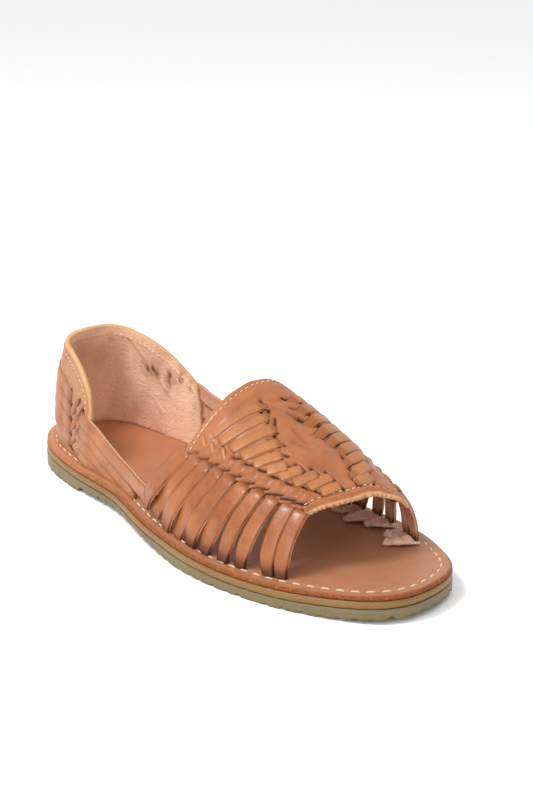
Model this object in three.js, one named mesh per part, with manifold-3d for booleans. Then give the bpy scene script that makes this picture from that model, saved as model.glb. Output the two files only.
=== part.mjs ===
// A woven leather sandal for the right foot, open at the toe, with a closed heel counter.
// Millimetres, +Z up. The toe points along +X, the outer side of the foot is -Y.
// The origin is on the floor under the middle of the heel. The shapes are worked out from the back
// end of the sole, and each finished piece is moved back by the place of the heel's middle.

import * as THREE from 'three';
import Module from 'manifold-3d';

const wasm = await Module();
wasm.setup();

// Driving sizes of the sole
const soleLength = 247;
const ballWidth = 92;
const insoleThickness = 2.2;
const midsoleThickness = 3.2;
const layerGap = 0.3;
const outsoleProud = 0.5;
const midsoleProud = 0.4;
const sideGroove = 0.7;
const footbedHeight = 11.4;
const heelStep = 1.7;
const archRise = 3.4;
const heelBackLift = 0.8;
const heelBackReach = 12;
const breastSlope = 1.5;
const toeSpring = 2.4;
const treadPitch = 10.8;
const treadDepth = 1.1;
const treadWidth = 2.6;
const treadReach = 13;
const treadSunk = 0.5;
const heelTreadFrom = 12;
const heelTreadMargin = 10;
const edgeRound = 0.5;
const ringCount = 80;

// Driving sizes of the upper
const instepHeight = 55;
const counterHeight = 53;
const counterFrontHeight = 26;
const footInset = 6;
const heelInset = 9.2;
const heelBulge = 1.5;
const heelLean = 11;
const heelLeanPower = 2.2;
const leather = 2.0;
const strapThickness = 2.0;
const counterThickness = 2.6;
const strapWidth = 8;
const frontStrapWidth = 7;
const patchWidth = 5.8;
const stripWidth = 5.4;
const panelFoot = 6;
const panelCrowd = 0.8;
const borderWidth = 7;
const borderStep = 0.9;
const borderReachShare = 0.98;
const bandWidth = 6.2;
const bandInside = -0.6;
const bandSunk = 0.5;
const strapInside = 0.2;
const strapDive = 0.9;
const strapTurn = 1.5;
const weaveRise = 0.9;
const bandWeaveRise = 0.6;
const frontStraps = 4;
const firstWeaving = 5;
const stripRise = 1.3;
const stripDive = 0.8;
const seatGap = 0.3;
const outerCrownFrom = 30;
const outerCrownTo = 85;
const innerCrownFrom = 65;
const innerCrownTo = 90;
const bandStepBack = 2;
const bandStepAhead = 5;

// Places along the sole, as shares of its length from the back end
const heelCentreShare = 0.1215;
const heelBreastShare = 0.2186;
const counterEndOuterShare = 0.235;
const counterEndInnerShare = 0.2915;
const throatShare = 0.5445;
const toeEdgeOuterShare = 0.8057;
const toeEdgeCrownShare = 0.8502;
const toeEdgeInnerShare = 0.8704;
const innerAheadAtToe = 0.036;
const innerAheadAtThroat = 0.012;
const frontTreadShare = 0.54;
const frontTreadEndShare = 0.96;
const archFrom = 0.25;
const archFull = 0.40;
const archFalls = 0.44;
const forefootFrom = 0.62;
const toeSpringFrom = 0.82;

const heelCentre = soleLength * heelCentreShare;
const heelBreastAt = soleLength * heelBreastShare;
const counterEndOuter = soleLength * counterEndOuterShare;
const counterEndInner = soleLength * counterEndInnerShare;
const throatAt = soleLength * throatShare;
const toeEdgeOuterAt = soleLength * toeEdgeOuterShare;
const toeEdgeCrownAt = soleLength * toeEdgeCrownShare;
const toeEdgeInnerAt = soleLength * toeEdgeInnerShare;

// The outsole's side: heights of its upper lip and of its lower lip as shares of its thickness
const upperLip = 0.2;
const groove = 0.5;
const lowerLip = 0.72;

// How finely the walls are divided
const panelRows = 9;
const panelColumns = 18;
const counterColumns = 28;
const counterRows = 4;
const strapSteps = 6;
const stripSteps = 3;
const bandSteps = 12;
const surfaceStep = 0.4;
const topAngle = 89;
const backJoin = 0.8;

// Outline of the footbed: half widths as shares of the ball width, at even steps of a half turn,
// so that the round ends take as many points as the long sides.
const outline = [
  // turn, outer, inner
  [0.0, 0.000, 0.000],
  [0.1, 0.168, 0.196],
  [0.2, 0.288, 0.316],
  [0.3, 0.343, 0.358],
  [0.4, 0.366, 0.374],
  [0.5, 0.470, 0.424],
  [0.6, 0.511, 0.486],
  [0.7, 0.448, 0.496],
  [0.8, 0.322, 0.400],
  [0.9, 0.180, 0.256],
  [1.0, 0.002, -0.002],
];

// Height of the footbed as shares of its height at the heel
const footbed = [
  // share of the length, height
  [0.00, 1.19],
  [0.12, 1.08],
  [0.25, 1.01],
  [0.50, 0.96],
  [0.75, 0.86],
  [0.88, 0.94],
  [1.00, 1.13],
];

// The last: at each share of the length its height as a share of the instep's, the place of its
// ridge as a share of the ball width, how lean each side is (a small power stands up straight),
// and how far each foot of the upper sits in from the edge as a share of the foot inset.
const last = [
  // at, height, ridge, outerLean, innerLean, outerInset, innerInset
  [0.102, 1.55, 0.000, 1.00, 1.00, 1.20, 1.20],
  [0.235, 1.45, 0.000, 0.55, 0.60, 0.95, 0.90],
  [0.367, 1.27, 0.022, 0.80, 0.60, 0.92, 0.84],
  [0.469, 1.09, 0.054, 1.15, 0.70, 0.92, 0.84],
  [0.561, 1.00, 0.076, 1.25, 0.75, 1.00, 0.84],
  [0.653, 0.88, 0.076, 1.30, 0.75, 1.08, 1.00],
  [0.714, 0.78, 0.065, 1.30, 0.75, 1.16, 1.16],
  [0.796, 0.63, 0.054, 1.20, 0.75, 1.33, 1.50],
  [0.857, 0.50, 0.044, 1.10, 0.75, 1.50, 1.66],
];

// Each side's straps from the toe to the throat, all places as shares of the length. The inner
// side's lie a little ahead of these. A strap leaves the panel at its slit and reaches the footbed
// at its foot. Its raised strip slants towards the toe as it climbs. Angles turn from the footbed
// (0) to the ridge (90): of the outer slit, of the foot, and of the strip's ends on each side.
const straps = [
  // slit, foot, slitAngle, footAngle, stripFromAt, stripToAt, outerFrom, outerTo, innerFrom, innerTo
  [0.801, 0.812, 50, 0, 0.805, 0.815, 62, 76, 80, 90],
  [0.779, 0.786, 48, 0, 0.783, 0.794, 59, 76, 77, 89],
  [0.755, 0.736, 46, 0, 0.759, 0.775, 55, 70, 71, 88],
  [0.727, 0.701, 44, 0, 0.732, 0.751, 52.5, 65, 63, 86],
  [0.699, 0.657, 42, 0, 0.706, 0.728, 51, 60.5, 57, 83],
  [0.671, 0.621, 41, 0, 0.679, 0.706, 49, 63, 52, 83],
  [0.645, 0.581, 40, 0, 0.653, 0.685, 48, 66.5, 49, 84],
  [0.618, 0.544, 39, 0, 0.626, 0.660, 47.5, 71, 48, 84],
  [0.593, 0.510, 38, 4, 0.599, 0.632, 46.5, 74, 47, 83],
  [0.568, 0.474, 37, 5, 0.575, 0.605, 46.5, 76.5, 46.5, 81],
];

// The side straps from the highest to the lowest: their heights above the footbed as shares of the
// counter's front height, at places given as shares of the length. The first place is the middle of
// the heel. Below the footbed a strap is tucked under it, and its end is the last place.
const bandPlaces = [0, 0.163, 0.220, 0.286, 0.347, 0.470];
const bandWeave = [0.42, 0.47];
const bands = {
  outer: [
    // atBack, behindSlits, atSlits, behindWaist, atWaist, inWeave, end
    [1.69, 1.08, 0.84, 0.54, 0.36, 0.28, 0.500],
    [1.46, 0.79, 0.60, 0.30, 0.12, -0.10, 0.408],
    [1.21, 0.50, 0.37, 0.09, -0.12, -0.40, 0.347],
    [0.96, 0.23, 0.14, -0.10, -0.30, -0.60, 0.286],
  ],
  inner: [
    [1.69, 1.22, 1.18, 1.10, 0.97, 0.58, 0.520],
    [1.46, 0.92, 0.88, 0.80, 0.68, 0.38, 0.520],
    [1.21, 0.62, 0.57, 0.49, 0.39, 0.20, 0.510],
    [0.96, 0.31, 0.26, 0.18, 0.11, 0.02, 0.469],
  ],
};

// The rim of the counter: heights as shares of the counter's height, from the middle of the heel
// to its front end, at shares of the way between them.
const rimTable = [
  // way, outer, inner
  [0.00, 1.00, 1.00],
  [0.30, 0.98, 0.98],
  [0.60, 0.91, 0.90],
  [0.80, 0.83, 0.77],
  [0.90, 0.75, 0.68],
  [0.97, 0.65, 0.59],
  [1.00, 0.52, 0.42],
];

// A smooth curve through one column of a table: cubic pieces whose slopes are the mean slopes of
// the neighbouring points.
function through(table, column) {
  const x = table.map((row) => row[0]);
  const y = table.map((row) => row[column]);
  const end = x.length - 1;
  const slope = x.map((_, i) => {
    const a = Math.max(i - 1, 0);
    const b = Math.min(i + 1, end);
    return (y[b] - y[a]) / (x[b] - x[a]);
  });
  return (at) => {
    const t = Math.min(Math.max(at, x[0]), x[end]);
    let i = 0;
    while (i < end - 1 && t > x[i + 1]) i += 1;
    const span = x[i + 1] - x[i];
    const u = (t - x[i]) / span;
    const v = 1 - u;
    const held = (1 + 2 * u) * v * v * y[i] + u * u * (3 - 2 * u) * y[i + 1];
    return held + u * v * span * (v * slope[i] - u * slope[i + 1]);
  };
}

const smooth = (from, to, at) => THREE.MathUtils.smoothstep(at, from, to);
const mix = THREE.MathUtils.lerp;
const degrees = THREE.MathUtils.degToRad;

const outerEdge = through(outline, 1);
const innerEdge = through(outline, 2);
const footbedCurve = through(footbed, 1);
const footbedTop = (x) => footbedHeight * footbedCurve(x / soleLength);
const turnAt = (x) => Math.acos(1 - 2 * Math.min(Math.max(x / soleLength, 0), 1)) / Math.PI;

// Side of the footbed at a place along the sole: -1 is the outer side, 1 the inner side
function edgeAt(side, x) {
  const half = side < 0 ? outerEdge(turnAt(x)) : innerEdge(turnAt(x));
  return side * half * ballWidth;
}

// Underside of the sole: flat heel, a step at its front, the arch, flat forefoot and toe spring
function underside(x) {
  const t = x / soleLength;
  const heelBack = heelBackLift * (1 - smooth(0, heelBackReach, x));
  const step = heelStep * smooth(heelBreastAt, heelBreastAt + breastSlope, x);
  const arch = (archRise - heelStep) * smooth(archFrom, archFull, t);
  const fall = 1 - smooth(archFalls, forefootFrom, t);
  const toe = toeSpring * Math.max(0, (t - toeSpringFrom) / (1 - toeSpringFrom)) ** 2;
  return heelBack + (step + arch) * fall + toe;
}

// Points round the outline of the footbed, moved outwards by a proud distance
function outlineRing(count, proud) {
  const ring = [];
  for (let i = 0; i < count; i += 1) {
    const whole = 2 * i / count;
    const side = whole <= 1 ? -1 : 1;
    const turn = whole <= 1 ? whole : 2 - whole;
    const x = soleLength * (1 - Math.cos(Math.PI * turn)) / 2;
    const half = side < 0 ? outerEdge(turn) : innerEdge(turn);
    ring.push(new THREE.Vector2(x, side * half * ballWidth));
  }
  return ring.map((point, i) => {
    const before = ring[(i + count - 1) % count];
    const after = ring[(i + 1) % count];
    const along = after.clone().sub(before).normalize();
    return new THREE.Vector2(point.x + along.y * proud, point.y - along.x * proud);
  });
}

// A layer of the sole: rows of rings from its top to its underside, closed by flat caps that
// join the outer side to the inner side across the foot.
function layer(count, rows) {
  const positions = [];
  const index = [];
  rows.forEach((row) => {
    outlineRing(count, row.proud).forEach((p) => positions.push(p.x, p.y, row.height(p.x)));
  });
  for (let r = 0; r < rows.length - 1; r += 1) {
    for (let i = 0; i < count; i += 1) {
      const next = (i + 1) % count;
      const a = r * count + i;
      const b = r * count + next;
      index.push(a, a + count, b, b, a + count, b + count);
    }
  }
  const bottom = (rows.length - 1) * count;
  for (let i = 0; i < count / 2; i += 1) {
    const outer = i;
    const outerNext = i + 1;
    const inner = (count - i) % count;
    const innerNext = (count - i - 1) % count;
    if (inner !== outer) {
      index.push(outer, outerNext, inner);
      index.push(bottom + outer, bottom + inner, bottom + outerNext);
    }
    if (innerNext !== outerNext) {
      index.push(outerNext, innerNext, inner);
      index.push(bottom + outerNext, bottom + inner, bottom + innerNext);
    }
  }
  return { positions, index };
}

// The last as a surface. Ahead of the heel centre a station is a place along the sole. Behind it
// the stations go round the heel, and back is the last of them, on the middle of the heel.
const lastHeight = through(last, 1);
const lastRidge = through(last, 2);
const leanOf = { [-1]: through(last, 3), [1]: through(last, 4) };
const insetOf = { [-1]: through(last, 5), [1]: through(last, 6) };
const heelHalf = (side) => Math.abs(edgeAt(side, heelCentre)) - footInset * insetOf[side](heelCentre / soleLength);
const heelArc = (Math.PI / 2) * (heelHalf(-1) + heelHalf(1)) / 2;
const back = heelCentre - heelArc;

function onLast(side, station, angle) {
  const x = Math.max(station, heelCentre);
  const t = x / soleLength;
  const height = instepHeight * lastHeight(t);
  const sine = Math.sin(degrees(angle));
  const lean = Math.max(Math.cos(degrees(angle)), 0) ** leanOf[side](t);
  const half = Math.abs(edgeAt(side, x)) - footInset * insetOf[side](t);
  const ridge = ballWidth * lastRidge(t);
  if (station >= heelCentre) {
    const y = ridge + (side * half - ridge) * lean;
    return new THREE.Vector3(x, y, footbedTop(x) + height * sine);
  }
  const turn = (Math.PI / 2) * (station - back) / heelArc;
  const length = heelCentre - heelInset;
  const radius = 1 / Math.hypot(Math.cos(turn) / length, Math.sin(turn) / half);
  const up = height * sine;
  const rise = up / counterHeight;
  const backShape = heelBulge * Math.sin(Math.PI * Math.min(rise, 1)) - heelLean * rise ** heelLeanPower;
  const backShare = Math.cos(turn) ** 2;
  const reach = radius * mix(lean, 1 + backShape / length, backShare);
  const px = heelCentre - reach * Math.cos(turn);
  return new THREE.Vector3(px, side * reach * Math.sin(turn), footbedTop(px) + up);
}

// Outward direction of the last's surface, from small steps along it
function outward(side, station, angle) {
  const top = Math.min(angle, topAngle);
  const low = Math.max(top - surfaceStep, 0);
  const along = onLast(side, station + surfaceStep, top).sub(onLast(side, station - surfaceStep, top));
  if (angle > topAngle) return new THREE.Vector3(-along.z, 0, along.x).normalize();
  const up = onLast(side, station, top + surfaceStep).sub(onLast(side, station, low));
  return along.cross(up).multiplyScalar(-side).normalize();
}

const offLast = (side, station, angle, off) =>
  onLast(side, station, angle).addScaledVector(outward(side, station, angle), off);

// Angle on the last at a height above the footbed
function angleAt(station, height) {
  const t = Math.max(station, heelCentre) / soleLength;
  return Math.asin(height / (instepHeight * lastHeight(t))) * 180 / Math.PI;
}

// A closed wall from a grid: place(i, j, off) gives each point, and both faces and the four
// edges are joined.
function wall(rows, columns, inside, outside, place) {
  const positions = [];
  const index = [];
  for (const off of [outside, inside]) {
    for (let i = 0; i <= rows; i += 1) {
      for (let j = 0; j <= columns; j += 1) {
        const p = place(i / rows, j / columns, off);
        positions.push(p.x, p.y, p.z);
      }
    }
  }
  const width = columns + 1;
  const under = (rows + 1) * width;
  const quad = (a, b, c, d) => index.push(a, b, c, a, c, d);
  for (let i = 0; i < rows; i += 1) {
    for (let j = 0; j < columns; j += 1) {
      const a = i * width + j;
      quad(a, a + width, a + width + 1, a + 1);
      quad(under + a, under + a + 1, under + a + width + 1, under + a + width);
    }
    const left = i * width;
    const right = left + columns;
    quad(left, under + left, under + left + width, left + width);
    quad(right, right + width, under + right + width, under + right);
  }
  for (let j = 0; j < columns; j += 1) {
    const near = j;
    const far = rows * width + j;
    quad(near, near + 1, under + near + 1, under + near);
    quad(far, under + far, under + far + 1, far + 1);
  }
  return solid({ positions, index });
}

// A solid from points and triangles, turned right side out if need be
function solid({ positions, index }) {
  let volume = 0;
  for (let i = 0; i < index.length; i += 3) {
    const [a, b, c] = [0, 1, 2].map((k) => new THREE.Vector3().fromArray(positions, 3 * index[i + k]));
    volume += a.dot(b.cross(c));
  }
  const facing = volume < 0 ? index.map((_, i) => index[i + [0, 1, -1][i % 3]]) : index;
  return new wasm.Manifold(new wasm.Mesh({
    numProp: 3,
    vertProperties: new Float32Array(positions),
    triVerts: new Uint32Array(facing),
  }));
}

// A flat strap laid along a path on the last. Its path gives station and angle, and its width is
// measured square to the path on the surface.
function ribbon(side, steps, width, inside, outside, path) {
  const at = (u) => {
    const { station, angle } = path(u);
    return onLast(side, station, angle);
  };
  const step = 0.01;
  return wall(steps, 1, inside, outside, (u, v, off) => {
    const { station, angle, lift = 0 } = path(u);
    const forward = at(Math.min(u + step, 1)).sub(at(Math.max(u - step, 0))).normalize();
    const out = outward(side, station, angle);
    const across = forward.cross(out);
    return at(u).addScaledVector(across, (v - 0.5) * width(u)).addScaledVector(out, off + lift);
  });
}

// The vamp panel: one wall over the ridge from the outer to the inner low edge. Its reach goes from
// 0 at the throat to 1 at the toe edge, and its place across from -1 at the outer low edge to 1 at
// the inner one.
const toeEdge = (side, angle) => (side < 0
  ? mix(toeEdgeOuterAt, toeEdgeCrownAt, smooth(outerCrownFrom, outerCrownTo, angle))
  : mix(toeEdgeInnerAt, toeEdgeCrownAt, smooth(innerCrownFrom, innerCrownTo, angle)));
const slitAngle = through(straps.map((row) => [row[0], row[2]]).reverse(), 1);
const panelInside = -leather / 2;
const panelOutside = leather / 2;

function panelPoint(reach, across, off) {
  const side = across < 0 ? -1 : 1;
  const low = slitAngle(mix(throatAt, toeEdgeOuterAt, reach) / soleLength) - panelFoot;
  const angle = mix(low, 90, (1 - Math.abs(across)) ** panelCrowd);
  return offLast(side, mix(throatAt, toeEdge(side, angle), reach), angle, off);
}

const vampPanel = () => wall(panelRows, panelColumns, panelInside, panelOutside, (u, v, off) =>
  panelPoint(u, 2 * v - 1, off));

// A doubled edge of the panel, along the throat or the toe opening
const borderShare = borderWidth / (toeEdgeOuterAt - throatAt);
const border = (from, to) => wall(1, panelColumns, 0, panelOutside + borderStep, (u, v, off) =>
  panelPoint(mix(from, to, u), borderReachShare * (2 * v - 1), off));

// How far ahead of its place in the table a strap of one side lies, as a share of the length
function ahead(side, slit) {
  if (side < 0) return 0;
  const [atToe, atThroat] = [straps[0][0], straps[straps.length - 1][0]];
  return mix(innerAheadAtThroat, innerAheadAtToe, (slit - atThroat) / (atToe - atThroat));
}

// A strap from its slit in the panel down to the footbed. The ones nearest the throat weave with
// each other low down.
function sideStrap(side, row, number) {
  const [slit, foot, slitTurn, footTurn] = row;
  const width = number < frontStraps ? frontStrapWidth : strapWidth;
  const wide = (u) => mix(patchWidth, width, smooth(0, 0.3, u));
  const weave = number >= firstWeaving ? weaveRise : 0;
  return ribbon(side, strapSteps, wide, strapInside, strapInside + strapThickness, (u) => {
    const station = soleLength * (mix(slit, foot, u ** strapDive) + ahead(side, slit));
    const angle = mix(slitTurn + strapTurn, angleAt(station, seatGap) + footTurn, u);
    const over = weave * Math.sin(Math.PI * (2 * u + number)) * smooth(0.5, 0.8, u);
    return { station, angle, lift: over - strapDive * (1 - smooth(0, 0.15, u)) };
  });
}

// A strap's raised strip on the panel, between its two slits
function raisedStrip(side, row) {
  const [slit, , , , fromAt, toAt, ...ends] = row;
  const [from, to] = side < 0 ? ends.slice(0, 2) : ends.slice(2);
  return ribbon(side, stripSteps, () => stripWidth, 0, panelOutside + stripRise, (u) => {
    const angle = mix(from, to, u);
    const place = soleLength * (mix(fromAt, toAt, u) + ahead(side, slit));
    const station = Math.min(place, toeEdge(side, angle) - borderWidth);
    const shown = smooth(0, 0.2, u) * (1 - smooth(0.8, 1, u));
    return { station, angle, lift: -stripDive * (1 - shown) };
  });
}

// A side strap: from the back of the heel, over the counter, along the waist and into the weave
function band(side, row, number) {
  const places = bandPlaces.map((place, i) => [i === 0 ? back : soleLength * place, row[i]]);
  const height = through(places, 1);
  const end = soleLength * row[bandPlaces.length];
  const counterEnd = side < 0 ? counterEndOuter : counterEndInner;
  const [weaveFrom, weaveFull] = bandWeave;
  return ribbon(side, bandSteps, () => bandWidth, bandInside, bandInside + strapThickness, (u) => {
    const station = mix(back + surfaceStep, end, u);
    const left = 1 - smooth(counterEnd - bandStepBack, counterEnd + bandStepAhead, station);
    const weave = bandWeaveRise * Math.sin(Math.PI * (station / strapWidth + number));
    const lift = (counterThickness / 2 - bandSunk) * left
      + weave * smooth(weaveFrom, weaveFull, station / soleLength);
    const up = counterFrontHeight * height(station);
    return { station, angle: Math.sign(up) * angleAt(station, Math.abs(up)), lift };
  });
}

// The counter: a hollow wall round the heel whose rim falls from the back to its two ends
const rimShare = { [-1]: through(rimTable, 1), [1]: through(rimTable, 2) };

function counter() {
  return wall(counterColumns, counterRows, -counterThickness / 2, counterThickness / 2, (u, v, off) => {
    const full = mix(-(counterEndOuter - back), counterEndInner - back, u);
    const side = full < 0 ? -1 : 1;
    const station = back + Math.abs(full);
    const end = side < 0 ? counterEndOuter : counterEndInner;
    const rim = counterHeight * rimShare[side]((station - back) / (end - back));
    const angle = angleAt(station, mix(seatGap, rim, v));
    if (station - back < backJoin) return onLast(side, station, angle).add(new THREE.Vector3(-off, 0, 0));
    return offLast(side, station, angle, off);
  });
}

function joined(solids) {
  return solids.reduce((whole, next) => whole.add(next));
}

// The solid without the small hollows that layers of leather close in between them
function filled(body) {
  const shells = body.decompose();
  return joined(shells.filter((shell) => shell.volume() > 0));
}

function upperSolid() {
  const pieces = [vampPanel(), border(0, borderShare), border(1 - borderShare, 1), counter()];
  for (const side of [-1, 1]) {
    straps.forEach((row, number) => {
      pieces.push(sideStrap(side, row, number), raisedStrip(side, row));
    });
    const rows = side < 0 ? bands.outer : bands.inner;
    rows.forEach((row, number) => pieces.push(band(side, row, number)));
  }
  const reach = footInset + strapThickness + counterThickness;
  const bed = solid(layer(ringCount, [
    { proud: reach, height: (x) => footbedTop(x) + seatGap },
    { proud: reach, height: (x) => footbedTop(x) - counterHeight },
  ]));
  return filled(joined(pieces).subtract(bed));
}

// The layers of the sole
const insoleUnder = (x) => footbedTop(x) - insoleThickness;
const midsoleTop = (x) => insoleUnder(x) - layerGap;
const midsoleUnder = (x) => midsoleTop(x) - midsoleThickness;
const outsoleTop = (x) => midsoleUnder(x) - layerGap;

function insoleSolid() {
  return solid(layer(ringCount, [
    { proud: -edgeRound, height: footbedTop },
    { proud: 0, height: (x) => footbedTop(x) - edgeRound },
    { proud: 0, height: insoleUnder },
  ]));
}

function midsoleSolid() {
  return solid(layer(ringCount, [
    { proud: midsoleProud, height: midsoleTop },
    { proud: midsoleProud, height: midsoleUnder },
  ]));
}

// The outsole: a proud lip under a shallow groove, and cross grooves cut into its edges below
function outsoleSolid() {
  const down = (share) => (x) => mix(outsoleTop(x), underside(x), share);
  const body = solid(layer(ringCount, [
    { proud: midsoleProud, height: outsoleTop },
    { proud: outsoleProud, height: down(upperLip) },
    { proud: outsoleProud - sideGroove, height: down(groove) },
    { proud: outsoleProud, height: down(lowerLip) },
    { proud: outsoleProud - edgeRound, height: underside },
  ]));
  const cuts = [];
  const grooves = (from, length) => {
    for (let x = from; x <= from + length; x += treadPitch) {
      for (const side of [-1, 1]) {
        const block = new THREE.BoxGeometry(treadWidth, 2 * treadReach, 2 * treadDepth);
        block.deleteAttribute('normal');
        block.deleteAttribute('uv');
        block.rotateY(Math.PI / 4);
        block.translate(x, edgeAt(side, x), underside(x) - treadSunk);
        cuts.push(fromGeometry(block));
      }
    }
  };
  grooves(heelTreadFrom, heelBreastAt - heelTreadFrom - heelTreadMargin);
  grooves(soleLength * frontTreadShare, soleLength * (frontTreadEndShare - frontTreadShare));
  return body.subtract(joined(cuts));
}

// A solid from a three.js geometry whose points at one place are merged
function fromGeometry(geometry) {
  const places = new Map();
  const positions = [];
  const source = geometry.attributes.position;
  const order = [];
  for (let i = 0; i < source.count; i += 1) {
    const point = [source.getX(i), source.getY(i), source.getZ(i)];
    const key = point.map((value) => value.toFixed(5)).join();
    if (!places.has(key)) {
      places.set(key, positions.length / 3);
      positions.push(...point);
    }
    order.push(places.get(key));
  }
  return solid({ positions, index: Array.from(geometry.index.array, (i) => order[i]) });
}

// A named mesh from a solid
function piece(name, body, colour, roughness) {
  const mesh = body.getMesh();
  const geometry = new THREE.BufferGeometry();
  geometry.setAttribute('position', new THREE.BufferAttribute(new Float32Array(mesh.vertProperties), 3));
  geometry.setIndex(new THREE.BufferAttribute(new Uint32Array(mesh.triVerts), 1));
  geometry.translate(-heelCentre, 0, 0);
  geometry.computeVertexNormals();
  const material = new THREE.MeshStandardMaterial({ color: colour, roughness, metalness: 0 });
  const result = new THREE.Mesh(geometry, material);
  result.name = name;
  return result;
}

const sandal = new THREE.Group();
sandal.add(
  piece('outsole', outsoleSolid(), 0x9c9878, 0.6),
  piece('midsole', midsoleSolid(), 0xa07a3c, 0.55),
  piece('insole', insoleSolid(), 0xb07a62, 0.6),
  piece('upper', upperSolid(), 0xb9784c, 0.45),
);

export default sandal;
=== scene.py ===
"""Looks of a woven leather sandal for the right foot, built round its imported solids."""

import math

import bmesh
import bpy
import numpy as np
from mathutils import Matrix, Vector


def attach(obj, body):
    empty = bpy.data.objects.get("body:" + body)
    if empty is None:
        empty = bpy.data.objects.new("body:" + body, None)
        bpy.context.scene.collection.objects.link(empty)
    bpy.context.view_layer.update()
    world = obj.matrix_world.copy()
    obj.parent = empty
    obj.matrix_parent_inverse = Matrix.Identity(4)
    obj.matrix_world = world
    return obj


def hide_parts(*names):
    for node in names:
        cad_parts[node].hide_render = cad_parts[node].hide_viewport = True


bl_info = {
    "name": "Woven sandal",
    "version": (1, 0, 0),
    "blender": (4, 5, 0),
    "location": "3D View > Sidebar > Sandal",
    "description": "Builds the leather, thread and rubber of a woven sandal",
    "category": "Object",
}

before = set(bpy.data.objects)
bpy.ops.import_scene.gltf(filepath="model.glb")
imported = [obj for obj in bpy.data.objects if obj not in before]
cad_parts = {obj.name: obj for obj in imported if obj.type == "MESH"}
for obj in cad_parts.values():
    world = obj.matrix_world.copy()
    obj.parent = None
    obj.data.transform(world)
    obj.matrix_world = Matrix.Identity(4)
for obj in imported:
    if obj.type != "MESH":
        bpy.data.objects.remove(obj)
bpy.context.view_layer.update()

# Sizes of the last and the sole, in millimetres from the back end of the sole
MM = 0.001
SOLE = 247.0
BALL = 92.0
FOOTBED = 11.4
INSOLE = 2.2
MIDSOLE = 3.2
LAYER_GAP = 0.3
HEEL_CENTRE = SOLE * 0.1215
HEEL_INSET = 9.2
HEEL_BREAST = SOLE * 0.2186
INSTEP = 55.0
COUNTER = 53.0
COUNTER_FRONT = 26.0
HEEL_BULGE = 1.5
HEEL_LEAN = 11.0
FOOT_INSET = 6.0
THROAT = SOLE * 0.5445
TOE_OUTER = SOLE * 0.8057
TOE_CROWN = SOLE * 0.8502
TOE_INNER = SOLE * 0.8704
COUNTER_END = {-1: SOLE * 0.235, 1: SOLE * 0.2915}
COUNTER_THICK = 2.6
PANEL_FOOT = 6.0

OUTLINE = np.array([
    # turn, outer, inner: half widths as shares of the ball width
    [0.0, 0.000, 0.000], [0.1, 0.168, 0.196], [0.2, 0.288, 0.316], [0.3, 0.343, 0.358],
    [0.4, 0.366, 0.374], [0.5, 0.470, 0.424], [0.6, 0.511, 0.486], [0.7, 0.448, 0.496],
    [0.8, 0.322, 0.400], [0.9, 0.180, 0.256], [1.0, 0.002, -0.002],
])
BED = np.array([
    # share of the length, height as a share of the footbed's
    [0.00, 1.19], [0.12, 1.08], [0.25, 1.01], [0.50, 0.96], [0.75, 0.86], [0.88, 0.94], [1.00, 1.13],
])
LAST = np.array([
    # at, height, ridge, outer lean, inner lean, outer inset, inner inset
    [0.102, 1.55, 0.000, 1.00, 1.00, 1.20, 1.20],
    [0.235, 1.45, 0.000, 0.55, 0.60, 0.95, 0.90],
    [0.367, 1.27, 0.022, 0.80, 0.60, 0.92, 0.84],
    [0.469, 1.09, 0.054, 1.15, 0.70, 0.92, 0.84],
    [0.561, 1.00, 0.076, 1.25, 0.75, 1.00, 0.84],
    [0.653, 0.88, 0.076, 1.30, 0.75, 1.08, 1.00],
    [0.714, 0.78, 0.065, 1.30, 0.75, 1.16, 1.16],
    [0.796, 0.63, 0.054, 1.20, 0.75, 1.33, 1.50],
    [0.857, 0.50, 0.044, 1.10, 0.75, 1.50, 1.66],
])
STRAPS = np.array([
    # slit, foot, slit angle, foot angle, strip's two stations, its two outer and two inner angles;
    # from the toe to the throat
    [0.801, 0.812, 50, 0, 0.805, 0.815, 62, 76, 80, 90],
    [0.779, 0.786, 48, 0, 0.783, 0.794, 59, 76, 77, 89],
    [0.755, 0.736, 46, 0, 0.759, 0.775, 55, 70, 71, 88],
    [0.727, 0.701, 44, 0, 0.732, 0.751, 52.5, 65, 63, 86],
    [0.699, 0.657, 42, 0, 0.706, 0.728, 51, 60.5, 57, 83],
    [0.671, 0.621, 41, 0, 0.679, 0.706, 49, 63, 52, 83],
    [0.645, 0.581, 40, 0, 0.653, 0.685, 48, 66.5, 49, 84],
    [0.618, 0.544, 39, 0, 0.626, 0.660, 47.5, 71, 48, 84],
    [0.593, 0.510, 38, 4, 0.599, 0.632, 46.5, 74, 47, 83],
    [0.568, 0.474, 37, 5, 0.575, 0.605, 46.5, 76.5, 46.5, 81],
])
BAND_PLACES = np.array([0, 0.163, 0.220, 0.286, 0.347, 0.470])
BANDS = {
    # heights at the places, as shares of the counter's front height, and the end; top to bottom
    -1: np.array([
        [1.69, 1.08, 0.84, 0.54, 0.36, 0.28, 0.500], [1.46, 0.79, 0.60, 0.30, 0.12, -0.10, 0.408],
        [1.21, 0.50, 0.37, 0.09, -0.12, -0.40, 0.347], [0.96, 0.23, 0.14, -0.10, -0.30, -0.60, 0.286],
    ]),
    1: np.array([
        [1.69, 1.22, 1.18, 1.10, 0.97, 0.58, 0.520], [1.46, 0.92, 0.88, 0.80, 0.68, 0.38, 0.520],
        [1.21, 0.62, 0.57, 0.49, 0.39, 0.20, 0.510], [0.96, 0.31, 0.26, 0.18, 0.11, 0.02, 0.469],
    ]),
}
RIM = np.array([
    # way from the back to the front end, outer and inner height as shares of the counter's
    [0.00, 1.00, 1.00], [0.30, 0.98, 0.98], [0.60, 0.91, 0.90], [0.80, 0.83, 0.77], [0.90, 0.75, 0.68],
    [0.97, 0.65, 0.59], [1.00, 0.52, 0.42],
])
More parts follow.
